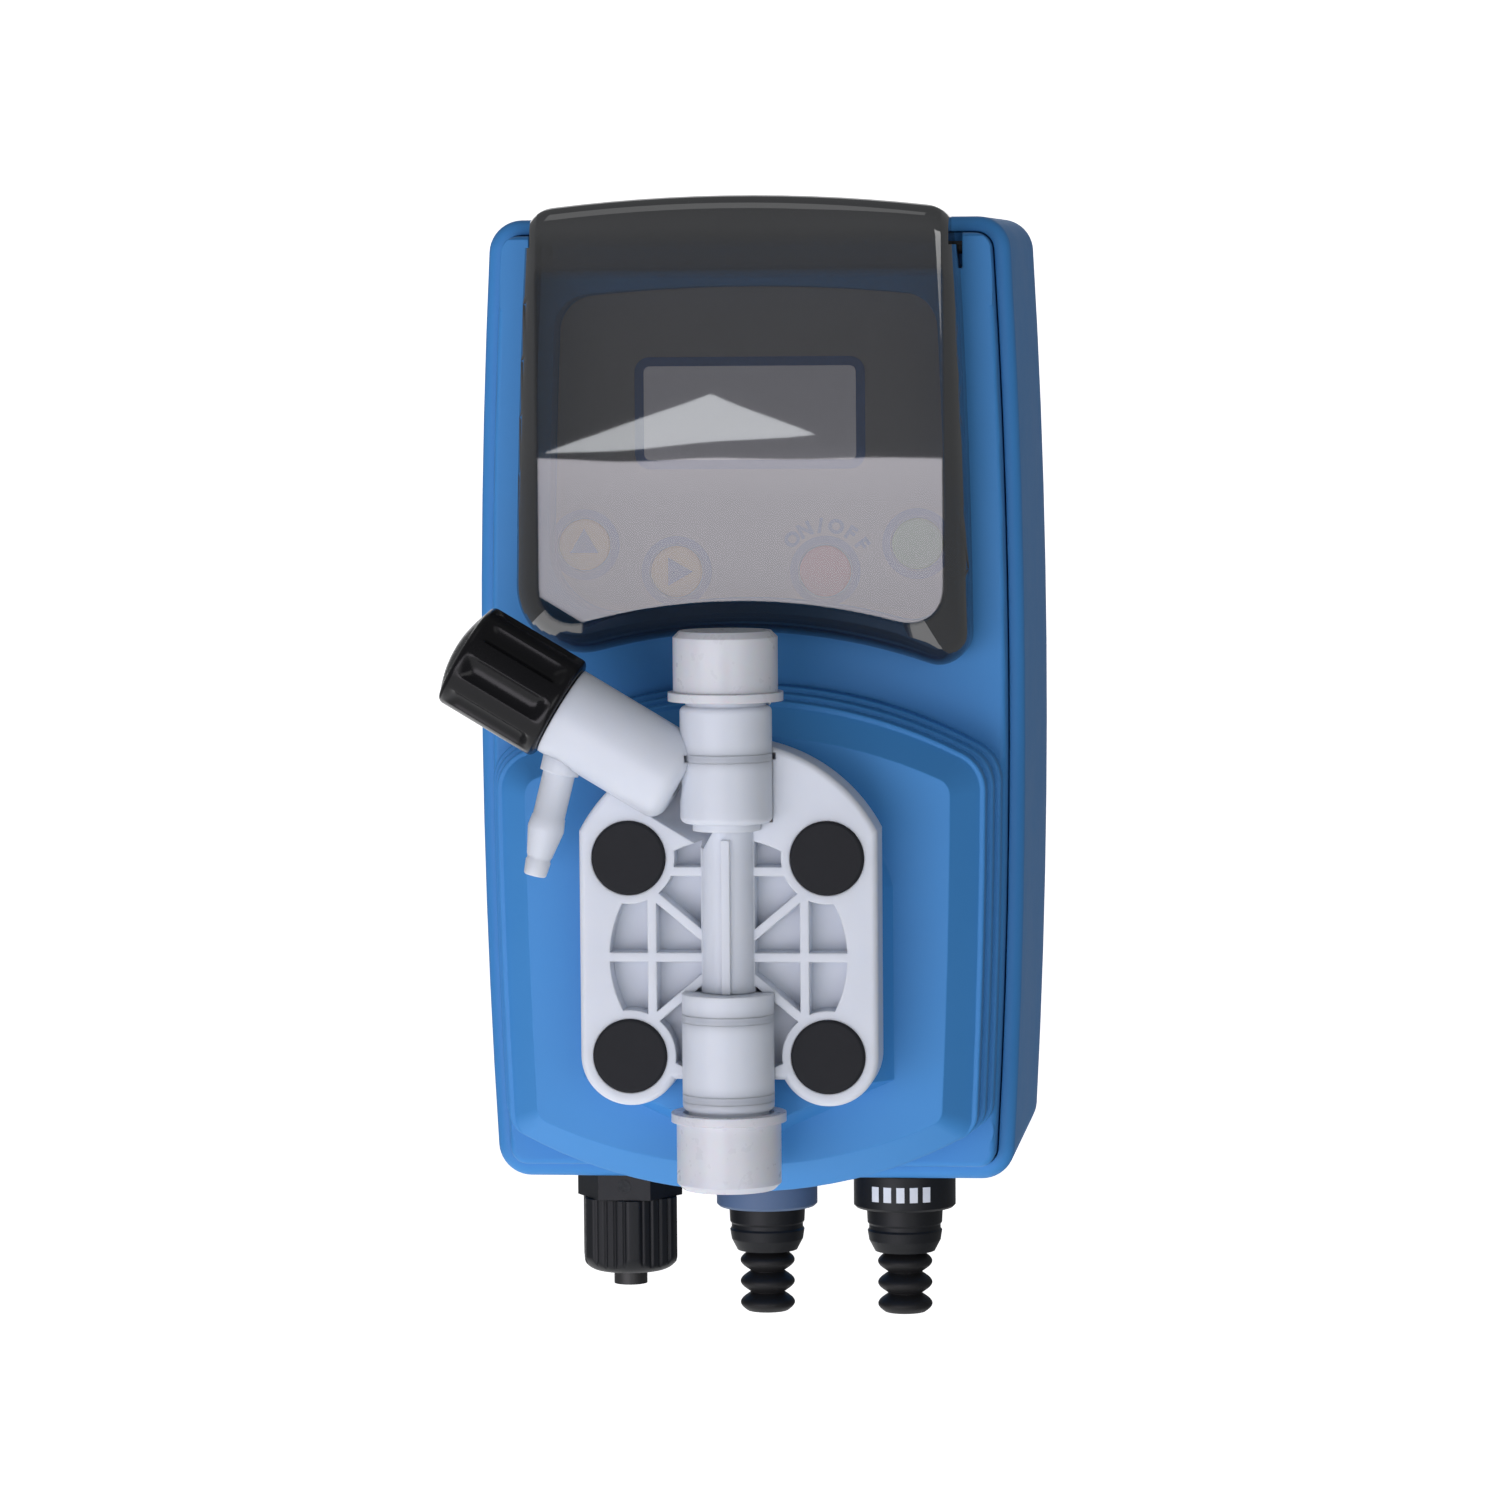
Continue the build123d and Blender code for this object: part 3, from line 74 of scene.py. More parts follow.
class Wire:
    """An output socket. Sums, products and powers of wires add the Math nodes that they need."""

    def __init__(self, socket):
        self.socket = socket

    def node(self, kind, settings, inputs, output=0):
        """Adds any other node beside this one and returns one of its outputs."""
        tree = self.socket.id_data
        made = tree.nodes.new(kind)
        for key, value in settings.items():
            if key == "stops":
                for spot, (at, colour) in zip(made.color_ramp.elements, value):
                    spot.position = at
                    spot.color = (*colour, 1)
            else:
                setattr(made, key, value)
        for key, value in inputs.items():
            if isinstance(value, Wire):
                tree.links.new(value.socket, made.inputs[key])
            else:
                made.inputs[key].default_value = value
        return Wire(made.outputs[output])

    def maths(self, operation, first, second=0.0, clamp=False):
        """Adds a Math node with these two operands."""
        settings = {"operation": operation, "use_clamp": clamp}
        return self.node("ShaderNodeMath", settings, {0: first, 1: second})

    def __add__(self, other):
        return self.maths("ADD", self, other)

    def __sub__(self, other):
        return self.maths("SUBTRACT", self, other)

    def __mul__(self, other):
        return self.maths("MULTIPLY", self, other)

    def __truediv__(self, other):
        return self.maths("DIVIDE", self, other)

    def __pow__(self, other):
        return self.maths("POWER", self, other)

    def __rsub__(self, other):
        return self.maths("SUBTRACT", other, self)

    __radd__ = __add__
    __rmul__ = __mul__

    def __abs__(self):
        return self.maths("ABSOLUTE", self)

    def sine(self):
        return self.maths("SINE", self)

    def fraction(self):
        return self.maths("FRACT", self)

    def held(self):
        """The same value, kept between 0 and 1."""
        return self.maths("ADD", self, 0.0, clamp=True)

    def over_zero(self):
        """The same value, kept at or above 0."""
        return self.maths("MAXIMUM", self, 0.0)

    def noise(self, size, detail=2.0):
        """Cloudy noise between 0 and 1 whose lumps are about size metres wide."""
        return self.node("ShaderNodeTexNoise", {}, {"Vector": self, "Scale": 1 / size, "Detail": detail})

    def axis(self, name):
        """One coordinate of a place."""
        return self.node("ShaderNodeSeparateXYZ", {}, {0: self}, "XYZ".index(name))

    def mix(self, first, second):
        """Colour that goes from first to second as this value goes from 0 to 1."""
        inputs = {0: self}
        for slot, colour in ((6, first), (7, second)):
            inputs[slot] = colour if isinstance(colour, Wire) else (*colour, 1)
        return self.node("ShaderNodeMix", {"data_type": "RGBA"}, inputs, 2)

    def bump(self, height, strength, normal=None):
        """Normal of a surface whose relief is this value times height metres."""
        inputs = {"Height": self, "Distance": height, "Strength": strength}
        if normal:
            inputs["Normal"] = normal
        return self.node("ShaderNodeBump", {}, inputs)

    def into(self, socket):
        """Feeds a socket of the material's shader."""
        tree = self.socket.id_data
        tree.links.new(self.socket, tree.nodes["Principled BSDF"].inputs[socket])


def finish(name, **constants):
    """A new material with its fixed values set, and a wire with the place on the piece in metres."""
    material = bpy.data.materials.new(name)
    material.use_nodes = True
    shader = material.node_tree.nodes["Principled BSDF"]
    for socket, value in constants.items():
        shader.inputs[socket.replace("_", " ").title().replace("Ior", "IOR")].default_value = value
    place = material.node_tree.nodes.new("ShaderNodeTexCoord")
    return material, Wire(place.outputs["Object"])


def moulded(name, dark, light, roughness, grain, relief, rounding=0.0, **constants):
    """Moulded plastic: faint clouds between two shades over a fine grain, with softened edges."""
    material, place = finish(name, **constants)
    cloud = place.noise(22 * mm, 4.0)
    cloud.mix(dark, light).into("Base Color")
    (cloud * 0.16 + (roughness - 0.08) + place.noise(2.5 * mm) * 0.06).into("Roughness")
    edge = place.node("ShaderNodeBevel", {"samples": 6}, {"Radius": rounding}) if rounding else None
    place.noise(grain, 3.0).bump(relief, 0.5, edge).into("Normal")
    return material


def dress(material, *names):
    """Gives CAD nodes a finished material."""
    for name in names:
        piece = frame["nodes"][name]
        piece.data.materials.clear()
        piece.data.materials.append(material)


case_blue = moulded("case_blue", (0.046, 0.245, 0.600), (0.056, 0.268, 0.640), 0.50, 0.35 * mm,
                    0.02 * mm, 0.45 * mm, specular_ior_level=0.32)
dress(case_blue, "rear_housing", "front_shell")

# The gasket between them is a die-cut ring of dark blue foam rubber, pinched by the four case
# screws, which are stainless steel with a socket head and go in from the back.
gasket_rubber = moulded("gasket_rubber", (0.010, 0.030, 0.075), (0.014, 0.038, 0.090), 0.80, 0.25 * mm,
                        0.03 * mm)
dress(gasket_rubber, "case_gasket")


def turned_metal(name, colour, roughness, rubbed):
    """Bare metal with lathe lines across its Z and a little tarnish."""
    material, place = finish(name, metallic=1.0)
    tarnish = place.noise(4 * mm, 4.0)
    (tarnish * 1.4 - 0.2).held().mix(colour, rubbed).into("Base Color")
    lathe_lines = (place.axis("Z") * 9000).sine()
    (tarnish * 0.2 + (roughness - 0.1)).into("Roughness")
    (lathe_lines + place.noise(0.3 * mm)).bump(0.004 * mm, 0.4).into("Normal")
    return material


stainless = turned_metal("stainless", (0.58, 0.58, 0.59), 0.32, (0.46, 0.46, 0.47))
dress(stainless, "case_screws", "board_screws", "head_screws", "push_rod")

# The window's hinge pins are short lengths of steel rod, coloured nearly black and rough:
# painted shade, so that the gap round them stays dark.
dark_steel = turned_metal("dark_steel", (0.06, 0.06, 0.065), 0.55, (0.04, 0.04, 0.04))
dress(dark_steel, "hinge_pins")

# Four knurled brass inserts are pressed into the back for the wall screws. The guide tube of
# the solenoid is drawn from the same brass.
brass = turned_metal("brass", (0.62, 0.44, 0.17), 0.34, (0.42, 0.29, 0.12))
dress(brass, "wall_inserts", "guide_tube")

# ---- Keypad and display -------------------------------------------------------------------
# A grey polyester film printed in blue, laid in the shallow recess. It is screen printed from
# behind, and carries the outlines of the display and of the four keys.
film_grey, place = finish("film_grey", specular_ior_level=0.45)
weave = place.noise(0.5 * mm, 2.0)
place.noise(30 * mm, 3.0).mix((0.29, 0.29, 0.305), (0.34, 0.34, 0.355)).into("Base Color")
(weave * 0.2 + 0.32).into("Roughness")
weave.bump(0.005 * mm, 0.4).into("Normal")
dress(film_grey, "keypad_film")


def printing(name, colour, roughness=0.4):
    """Printed ink: nearly even, with the slight starvation of a screen mesh."""
    material, place = finish(name)
    faded = [0.85 * value + 0.05 for value in colour]
    place.noise(0.7 * mm, 3.0).mix(colour, faded).into("Base Color")
    (place.noise(1.5 * mm) * 0.1 + roughness).into("Roughness")
    return material


def flat_print(name, splines, at, thickness, material, body):
    """Thin flat piece on a face that looks to the front: outlines are (x, z) in the face, in metres."""
    shape = bpy.data.curves.new(name, "CURVE")
    shape.dimensions = "2D"
    shape.fill_mode = "BOTH"
    shape.extrude = thickness / 2
    for points in splines:
        spline = shape.splines.new("POLY")
        spline.points.add(len(points) - 1)
        for point, (x, z) in zip(spline.points, points):
            point.co = (x, z, 0, 1)
        spline.use_cyclic_u = True
    shape.materials.append(material)
    piece = bpy.data.objects.new(name, shape)
    bpy.context.scene.collection.objects.link(piece)
    piece.matrix_world = Matrix.Translation(at) @ Matrix.Rotation(pi / 2, 4, "X")
    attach(piece, body)
    return piece


def circle(radius, steps=72):
    """Points round a circle."""
    return [(radius * cos(2 * pi * k / steps), radius * sin(2 * pi * k / steps)) for k in range(steps)]


def rounded_box(half_width, half_height, radius, steps=8):
    """Points round a rectangle with rounded corners."""
    points = []
    for quarter, (sx, sz) in enumerate(((1, 1), (-1, 1), (-1, -1), (1, -1))):
        for k in range(steps + 1):
            turn = (quarter + k / steps) * pi / 2
            points.append((sx * (half_width - radius) + radius * cos(turn),
                           sz * (half_height - radius) + radius * sin(turn)))
    return points


film_low, film_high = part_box("keypad_film")
display_low, display_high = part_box("display_module")
print_thickness = 0.06 * mm
on_film = film_low.y - print_thickness / 2
display_middle = (display_low + display_high) / 2
display_half = (display_high - display_low) / 2
blue_ink = printing("blue_ink", (0.016, 0.120, 0.400))
frame_line = 1.8 * mm
frame_corner = 3.0 * mm
flat_print("display_frame",
           [rounded_box(display_half.x + frame_line, display_half.z + frame_line, frame_corner),
            rounded_box(display_half.x, display_half.z, frame_corner - frame_line)],
           (display_middle.x, on_film, display_middle.z), print_thickness, blue_ink,
           "pump_case")

# The liquid crystal display is a glass plate behind the film's clear pane, with a pale grey
# reflector at its back and the faint shade of segments that are switched off. It is also given a
# weak bluish glow: painted light, as it has no lamp of its own.
display_grey, place = finish("display_grey", roughness=0.18, specular_ior_level=0.5,
                             emission_color=(0.75, 0.75, 0.90, 1), emission_strength=0.08)
columns_per_metre = 140
rows_per_metre = 60
column = (place.axis("X") * columns_per_metre).fraction()
row = (place.axis("Z") * rows_per_metre).fraction()
segments = (column * (1 - column)) * (row * (1 - row)) * 0.6
shade = (segments + place.noise(12 * mm) * 0.4).held()
shade.mix((0.92, 0.92, 0.97), (0.82, 0.83, 0.88)).into("Base Color")
dress(display_grey, "display_module")

# Four keys of domed polyester, each in its own ink under a clear gloss: two amber arrow keys,
# a red ON/OFF key and a green start key. Each lies in a printed blue ring.
ring_outer = 6.9 * mm
ring_inner = 5.35 * mm
key_inks = {"key_up": (0.62, 0.38, 0.06), "key_right": (0.62, 0.38, 0.06),
            "key_start": (0.55, 0.045, 0.05), "key_program": (0.10, 0.36, 0.12)}
for name, ink in key_inks.items():
    low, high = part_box(name)
    middle = (low + high) / 2
    key_gloss = printing(name + "_ink", ink, 0.25)
    dress(key_gloss, name)
    flat_print(name + "_ring", [circle(ring_outer), circle(ring_inner)], (middle.x, on_film, middle.z),
               print_thickness, blue_ink, "pump_case")

arrow_radius = 3.2 * mm
for name, heading in (("key_up", pi / 2), ("key_right", 0.0)):
    low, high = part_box(name)
    corners = [heading + 2 * pi * k / 3 for k in range(3)]
    points = [(arrow_radius * cos(turn), arrow_radius * sin(turn)) for turn in corners]
    on_key = ((low.x + high.x) / 2, low.y - print_thickness / 2, (low.z + high.z) / 2)
    flat_print(name + "_arrow", [points], on_key, print_thickness, blue_ink, name)

# The words ON/OFF stand in an arc over the red key, one letter at a time.
red_low, red_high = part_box("key_start")
arc_radius = 7.7 * mm
letter_size = 3.7 * mm
letter_weight = 0.17 * mm
letter_step = 20.0
arc_tilt = 4.0
word = "ON/OFF"
for place_in_word, letter in enumerate(word):
    turn = ((len(word) - 1) / 2 - place_in_word) * letter_step - arc_tilt
    glyph = bpy.data.curves.new("on_off_%d" % place_in_word, "FONT")
    glyph.body = letter
    glyph.size = letter_size
    glyph.offset = letter_weight
    glyph.align_x = "CENTER"
    glyph.extrude = print_thickness / 2
    glyph.materials.append(blue_ink)
    piece = bpy.data.objects.new(glyph.name, glyph)
    bpy.context.scene.collection.objects.link(piece)
    centre = Vector(((red_low.x + red_high.x) / 2, on_film, (red_low.z + red_high.z) / 2))
    foot = Vector((-sin(radians(turn)) * arc_radius, 0, cos(radians(turn)) * arc_radius))
    piece.matrix_world = (Matrix.Translation(centre + foot) @ Matrix.Rotation(-radians(turn), 4, "Y")
                          @ Matrix.Rotation(pi / 2, 4, "X"))
    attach(piece, "pump_case")

# ---- Window -------------------------------------------------------------------------------
# Hinged cover over the keypad, moulded in smoke-tinted polycarbonate and left as it comes
# from a polished tool. It hangs by two ears on steel pins.
smoke, place = finish("smoke", roughness=0.012, ior=1.75, specular_ior_level=1.0)
pane_low, pane_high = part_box("window_cover")
across, height = place.axis("X"), place.axis("Z")

# Its face is flat as far as a crisp rounded line inside the edge, and falls away from there.
side_band = 5.0 * mm
foot_band = 6.8 * mm
band_corner = 9.0 * mm
band_fall = 3.4 * mm
foot_radius = 110 * mm
near_middle = 12 * mm
apex = min(vertex.co.z for vertex in frame["nodes"]["window_cover"].data.vertices
           if abs(vertex.co.x) < near_middle)
above_foot = (across ** 2 + (height - apex + foot_radius) ** 2) ** 0.5 - foot_radius
past_side = (abs(across) - pane_high.x + side_band + band_corner).over_zero()
past_foot = (foot_band + band_corner - above_foot).over_zero()
fall = (((past_side ** 2 + past_foot ** 2) ** 0.5 - band_corner) / side_band).over_zero()
wobble = place.noise(60 * mm, 1.0).bump(0.25 * mm, 0.35)
(1 - fall).bump(band_fall, 1.0, wobble).into("Normal")

# It is clearest low in the middle: painted light, for the keypad lit brighter there. The walls
# behind its edge make it darker there. Above the film and over the case it is darker still: painted
# shade for the shadowed case top under the hood.
clear_height = 35 * mm
clear_fade = 12 * mm
soft_edge = 1.5 * mm
light_low_down = ((film_low.z + clear_height - height) / clear_fade).held()
above = ((height - film_high.z - soft_edge) / (2 * soft_edge)).held()
shade_over_case = ((height - film_high.z - 5 * soft_edge) / (3 * soft_edge)).held()
edge = (fall * 8).held()
walls_and_painted_shade = (edge * 0.50 + above * 0.30 + shade_over_case * 0.30).held()
haze = place.noise(28 * mm, 3.0)
haze.mix((0.022, 0.023, 0.024), (0.030, 0.031, 0.032)).into("Base Color")
(0.45 - light_low_down * 0.10 + walls_and_painted_shade).held().into("Alpha")
dress(smoke, "window_cover")

# ---- Control board ------------------------------------------------------------------------
# Green epoxy-glass board behind the keypad, with a relay, two capacitors and the terminal
# block soldered to its back.
board_green, place = finish("board_green", roughness=0.3)
tracks = place.node("ShaderNodeTexVoronoi", {"feature": "DISTANCE_TO_EDGE", "distance": "MANHATTAN"},
                    {"Vector": place, "Scale": 1 / (5 * mm)})
copper = ((0.06 - tracks) * 60).held()
copper.mix((0.010, 0.110, 0.045), (0.030, 0.190, 0.080)).into("Base Color")
copper.bump(0.03 * mm, 0.5).into("Normal")
dress(board_green, "control_board")
component_black = moulded("component_black", (0.018, 0.018, 0.020), (0.035, 0.035, 0.038), 0.5, 0.2 * mm,
                          0.01 * mm)
dress(component_black, "board_parts")

# ---- Solenoid -----------------------------------------------------------------------------
# Zinc-plated mild steel flange, yoke, end cap and plunger round a wound coil.
plated_steel = turned_metal("plated_steel", (0.46, 0.47, 0.49), 0.42, (0.36, 0.35, 0.33))
dress(plated_steel, "solenoid_flange", "solenoid_yoke", "solenoid_cap", "plunger")

# The coil is enamelled copper wire under one turn of amber polyester tape.
coil_amber, place = finish("coil_amber", roughness=0.35, coat_weight=0.3)
turns = (place.axis("Y") * 3000).sine()
(turns * 0.5 + 0.5).mix((0.36, 0.15, 0.03), (0.52, 0.26, 0.06)).into("Base Color")
turns.bump(0.05 * mm, 0.5).into("Normal")
dress(coil_amber, "solenoid_coil")


def swept(name, centre_line, section, material, body):
    """Mesh swept along a list of (place, outward, along) frames: section is (outward, along) pairs."""
    mesh = bmesh.new()
    rings = []
    for at, outward, along in centre_line:
        rings.append([mesh.verts.new(at + outward * u + along * v) for u, v in section])
    count = len(section)
    for ring, following in zip(rings, rings[1:]):
        for k in range(count):
            mesh.faces.new((ring[k], ring[(k + 1) % count], following[(k + 1) % count], following[k]))
    mesh.faces.new(rings[0][::-1])
    mesh.faces.new(rings[-1])
    bmesh.ops.recalc_face_normals(mesh, faces=mesh.faces)
    return placed(name, mesh, material, body)


def placed(name, mesh, material, body):
    """Turns mesh code into a smooth piece that rides on a body."""
    data = bpy.data.meshes.new(name)
    mesh.to_mesh(data)
    mesh.free()
    for face in data.polygons:
        face.use_smooth = True
    data.set_sharp_from_angle(angle=radians(38))
    data.materials.append(material)
    piece = bpy.data.objects.new(name, data)
    bpy.context.scene.collection.objects.link(piece)
    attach(piece, body)
    return piece


# The return spring is five turns of spring steel with closed ends, in a pocket of the flange.
spring_low, spring_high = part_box("return_spring")
spring_middle = (spring_low + spring_high) / 2
wire = 0.8 * mm
coil_radius = (spring_high.x - spring_low.x) / 2 - wire
spring_length = spring_high.y - spring_low.y
spring_turns = 5
steps_per_turn = 32
stations = []
for step in range(spring_turns * steps_per_turn + 1):
    share = step / (spring_turns * steps_per_turn)
    turn = 2 * pi * spring_turns * share
    outward = Vector((cos(turn), 0, sin(turn)))
    along = Vector((0, 1, 0))
    y = spring_low.y + wire + (spring_length - 2 * wire) * share
    stations.append((Vector((spring_middle.x, y, spring_middle.z)) + outward * coil_radius, outward, along))
spring_steel = turned_metal("spring_steel", (0.40, 0.40, 0.41), 0.3, (0.30, 0.30, 0.31))
spring = swept("spring", stations, circle(wire, 12), spring_steel, "pump_case")
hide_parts("return_spring")
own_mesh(spring)

# ---- Diaphragm ----------------------------------------------------------------------------
# PTFE-faced diaphragm, clamped at its rim between the head and a black support ring.
# A shallow pocket in its back leaves the push rod room for its stroke.
ptfe = moulded("ptfe", (0.80, 0.80, 0.78), (0.86, 0.86, 0.85), 0.4, 0.3 * mm, 0.01 * mm)


def turned(name, foot, way, profile, material, body, steps=96, shape=None, closed=True):
    """Piece turned round the axis from foot along way: profile holds (along, radius) in metres.

    shape takes the angle and a profile point and returns the radius there, for flats and flutes.
    A profile that isn't closed begins and ends on the axis.
    """
    way = way.normalized()
    side = way.orthogonal().normalized()
    across = way.cross(side)
    mesh = bmesh.new()
    rings = []
    for along, radius in profile:
        ring = []
        for k in range(steps if radius else 1):
            angle = 2 * pi * k / steps
            distance = shape(angle, along, radius) if shape and radius else radius
            outward = side * cos(angle) + across * sin(angle)
            ring.append(mesh.verts.new(foot + way * along + outward * distance))
        rings.append(ring)
    pairs = list(zip(rings, rings[1:] + rings[:1] if closed else rings[1:]))
    for ring, following in pairs:
        for k in range(steps):
            corner = [ring[k % len(ring)], ring[(k + 1) % len(ring)],
                      following[(k + 1) % len(following)], following[k % len(following)]]
            mesh.faces.new(list(dict.fromkeys(corner)))
    bmesh.ops.recalc_face_normals(mesh, faces=mesh.faces)
    return placed(name, mesh, material, body)


disc_low, disc_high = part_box("diaphragm")
rod_low, rod_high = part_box("push_rod")
disc_radius = (disc_high.x - disc_low.x) / 2
disc_thickness = disc_high.y - disc_low.y
pocket_radius = (rod_high.x - rod_low.x) / 2 + 0.3 * mm
pocket_depth = 1.3 * mm
pocket_slope = 0.3 * mm
web = 0.6 * disc_thickness
clamped_from = 14 * mm
web_outer = 12 * mm
web_inner = 6 * mm
boss_radius = 5 * mm
disc_profile = [(pocket_depth, 0.0), (pocket_depth, pocket_radius), (0.0, pocket_radius + pocket_slope),
                (0.0, disc_radius), (disc_thickness, disc_radius), (disc_thickness, clamped_from),
                (web, web_outer), (web, web_inner), (disc_thickness, boss_radius), (disc_thickness, 0.0)]
disc_back = Vector(((disc_low.x + disc_high.x) / 2, disc_high.y, (disc_low.z + disc_high.z) / 2))
disc = turned("diaphragm_disc", disc_back, Vector((0, -1, 0)), disc_profile, ptfe, "pump_case",
              closed=False)
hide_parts("diaphragm")

# The ring is glass-filled nylon, as are the gland, its nut and the plugs on the underside.
black_filled = moulded("black_filled", (0.008, 0.009, 0.011), (0.013, 0.014, 0.016), 0.40, 0.3 * mm,
                       0.02 * mm, 0.2 * mm, specular_ior_level=0.22)
dress(black_filled, "support_ring", "gland_body", "gland_locknut", "level_socket",
      "level_locknut", "signal_locknut", "level_plug", "signal_plug")

# ---- Pump head ----------------------------------------------------------------------------
# Natural fluoroplastic: milky, slightly translucent and cool white, with a satin skin and no
# pigment, so that thick places look denser than the ribs.


def natural(name, dark, light, rings=()):
    """Milky translucent plastic. Each of rings is the middle and radius of a seal that shows through."""
    material, place = finish(name, subsurface_weight=0.6, subsurface_scale=4.0 * mm,
                             specular_ior_level=0.4)
    shader = material.node_tree.nodes["Principled BSDF"]
    shader.inputs["Subsurface Radius"].default_value = (1.0, 0.9, 0.8)
    cloud = place.noise(14 * mm, 3.0)
    colour = cloud.mix(dark, light)
    band = 3.0 * mm
    for middle, radius in rings:
        shade = (1 - abs(place.axis("Z") - middle.z) / band).held()
        off_axis = ((place.axis("X") - middle.x) ** 2 + (place.axis("Y") - middle.y) ** 2) ** 0.5
        shade = shade * ((radius * 1.2 - off_axis) / (radius * 0.1)).held()
        colour = (shade * shade * 0.6).mix(colour, (0.36, 0.39, 0.45))
    colour.into("Base Color")
    (place.noise(3 * mm) * 0.12 + 0.33).into("Roughness")
    edge = place.node("ShaderNodeBevel", {"samples": 6}, {"Radius": 0.4 * mm})
    place.noise(0.6 * mm, 3.0).bump(0.015 * mm, 0.5, edge).into("Normal")
    return material


white_dark = (0.62, 0.66, 0.73)
white_light = (0.68, 0.72, 0.79)
head_white = natural("head_white", white_dark, white_light)
dress(head_white, "pump_head", "delivery_seat", "delivery_cage", "suction_seat", "suction_cage")

# Four stainless screws clamp the head, each under a black press-in cap with a matt face.
cap_black = moulded("cap_black", (0.014, 0.015, 0.018), (0.020, 0.021, 0.025), 0.60, 0.3 * mm, 0.03 * mm,
                    0.3 * mm, specular_ior_level=0.15)
dress(cap_black, "screw_caps")

# ---- Valves -------------------------------------------------------------------------------
# The delivery valve above and the suction valve below are screwed into the head. Their seals
# lie flush under a skin of the same plastic and show through it as soft grey bands.
up = Vector((0, 0, 1))
valve_low, valve_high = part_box("suction_valve_body")
valve_axis = Vector(((valve_low.x + valve_high.x) / 2, (valve_low.y + valve_high.y) / 2, 0))
valve_radius = (valve_high.x - valve_low.x) / 2
ring_low, ring_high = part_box("delivery_o_ring")
seal_half = (ring_high.z - ring_low.z) / 2
delivery_seal = (ring_low.z + ring_high.z) / 2
rings_low, rings_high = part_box("suction_o_rings")
suction_seals = (rings_low.z + seal_half, rings_high.z - seal_half)
delivery_white = natural("delivery_white", white_dark, white_light,
                         [(valve_axis + up * delivery_seal, valve_radius)])
dress(delivery_white, "delivery_valve_body")
suction_white = natural("suction_white", white_dark, white_light,
                        [(valve_axis + up * z, valve_radius) for z in suction_seals])
dress(suction_white, "suction_valve_body")
groove_floor = (rings_high.x - rings_low.x) / 2 - 2 * seal_half
skin_lap = 0.15 * mm
skin_radius = valve_radius + 0.02 * mm
for name, z, skin, seal in (("delivery_seal", delivery_seal, delivery_white, "delivery_o_ring"),
                            ("lower_seal", suction_seals[0], suction_white, "suction_o_rings"),
                            ("upper_seal", suction_seals[1], suction_white, "suction_o_rings")):
    profile = [(z - seal_half, groove_floor), (z - seal_half - skin_lap, skin_radius),
               (z + seal_half + skin_lap, skin_radius), (z + seal_half, groove_floor)]
    band_skin = turned(name, valve_axis, up, profile, skin, "pump_case")
    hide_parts(seal)

# Each port has a pipe thread under its dust cap, cut in the plastic with a sharp crest.
port_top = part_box("delivery_valve_body")[1].z
port_radius = 8.35 * mm
thread_pitch = 1.337 * mm
thread_turns = 7.3
thread_rise = 0.25 * mm
thread_root = -0.1 * mm
thread_half = 0.45 * thread_pitch
lead_in = 1.2 * thread_pitch
steps_per_turn = 48
thread_section = [(thread_root, -thread_half), (thread_rise, 0.0), (thread_root, thread_half)]
for name, start, skin in (
        ("delivery_thread", port_top - lead_in - thread_turns * thread_pitch, delivery_white),
        ("suction_thread", valve_low.z + lead_in, suction_white)):
    stations = []
    for step in range(int(thread_turns * steps_per_turn) + 1):
        angle = 2 * pi * step / steps_per_turn
        outward = Vector((cos(angle), sin(angle), 0))
        height = start + thread_pitch * step / steps_per_turn
        stations.append((valve_axis + outward * port_radius + up * height, outward, up))
    swept(name, stations, thread_section, skin, "pump_case")

# The seals inside the part are black rubber, and the balls of the valves ground ceramic.
seal_rubber = moulded("seal_rubber", (0.012, 0.012, 0.013), (0.020, 0.020, 0.021), 0.45, 0.25 * mm,
                      0.01 * mm)
dress(seal_rubber, "bleed_o_ring", "gland_seal")
ceramic, place = finish("ceramic", roughness=0.12, specular_ior_level=0.6)
place.noise(2 * mm).mix((0.80, 0.79, 0.76), (0.84, 0.83, 0.80)).into("Base Color")
dress(ceramic, "delivery_ball", "suction_ball")

# ---- Dust caps ----------------------------------------------------------------------------
# Two thin push-on caps of unpigmented polyethylene, cloudy and half clear, over the ports.
cloudy, place = finish("cloudy", alpha=0.80, subsurface_weight=0.2, subsurface_scale=1.5 * mm,
                       specular_ior_level=0.5)
place.noise(9 * mm, 3.0).mix((0.70, 0.72, 0.78), (0.78, 0.80, 0.85)).into("Base Color")
(place.noise(2 * mm) * 0.15 + 0.22).into("Roughness")
edge = place.node("ShaderNodeBevel", {"samples": 6}, {"Radius": 0.4 * mm})
place.noise(5 * mm).bump(0.05 * mm, 0.4, edge).into("Normal")
dress(cloudy, "delivery_cap", "suction_cap")

# ---- Bleed valve --------------------------------------------------------------------------
# Black phenolic knob with a domed end and eight shallow flutes that run out before its ends,
# on a white spindle.


def joint(name):
    """Axis point and direction of a joint of the frame."""
    found = next(entry for entry in frame["joints"] if entry["name"] == name)
    return Vector(found["pos_m"]), Vector(found["axis"]).normalized()


def extent(node, point, way):
    """Where a CAD node begins and ends along an axis, and its greatest distance from it."""
    along = [(vertex.co - point).dot(way) for vertex in frame["nodes"][node].data.vertices]
    off = [(vertex.co - point).cross(way).length for vertex in frame["nodes"][node].data.vertices]
    return min(along), max(along), max(off)


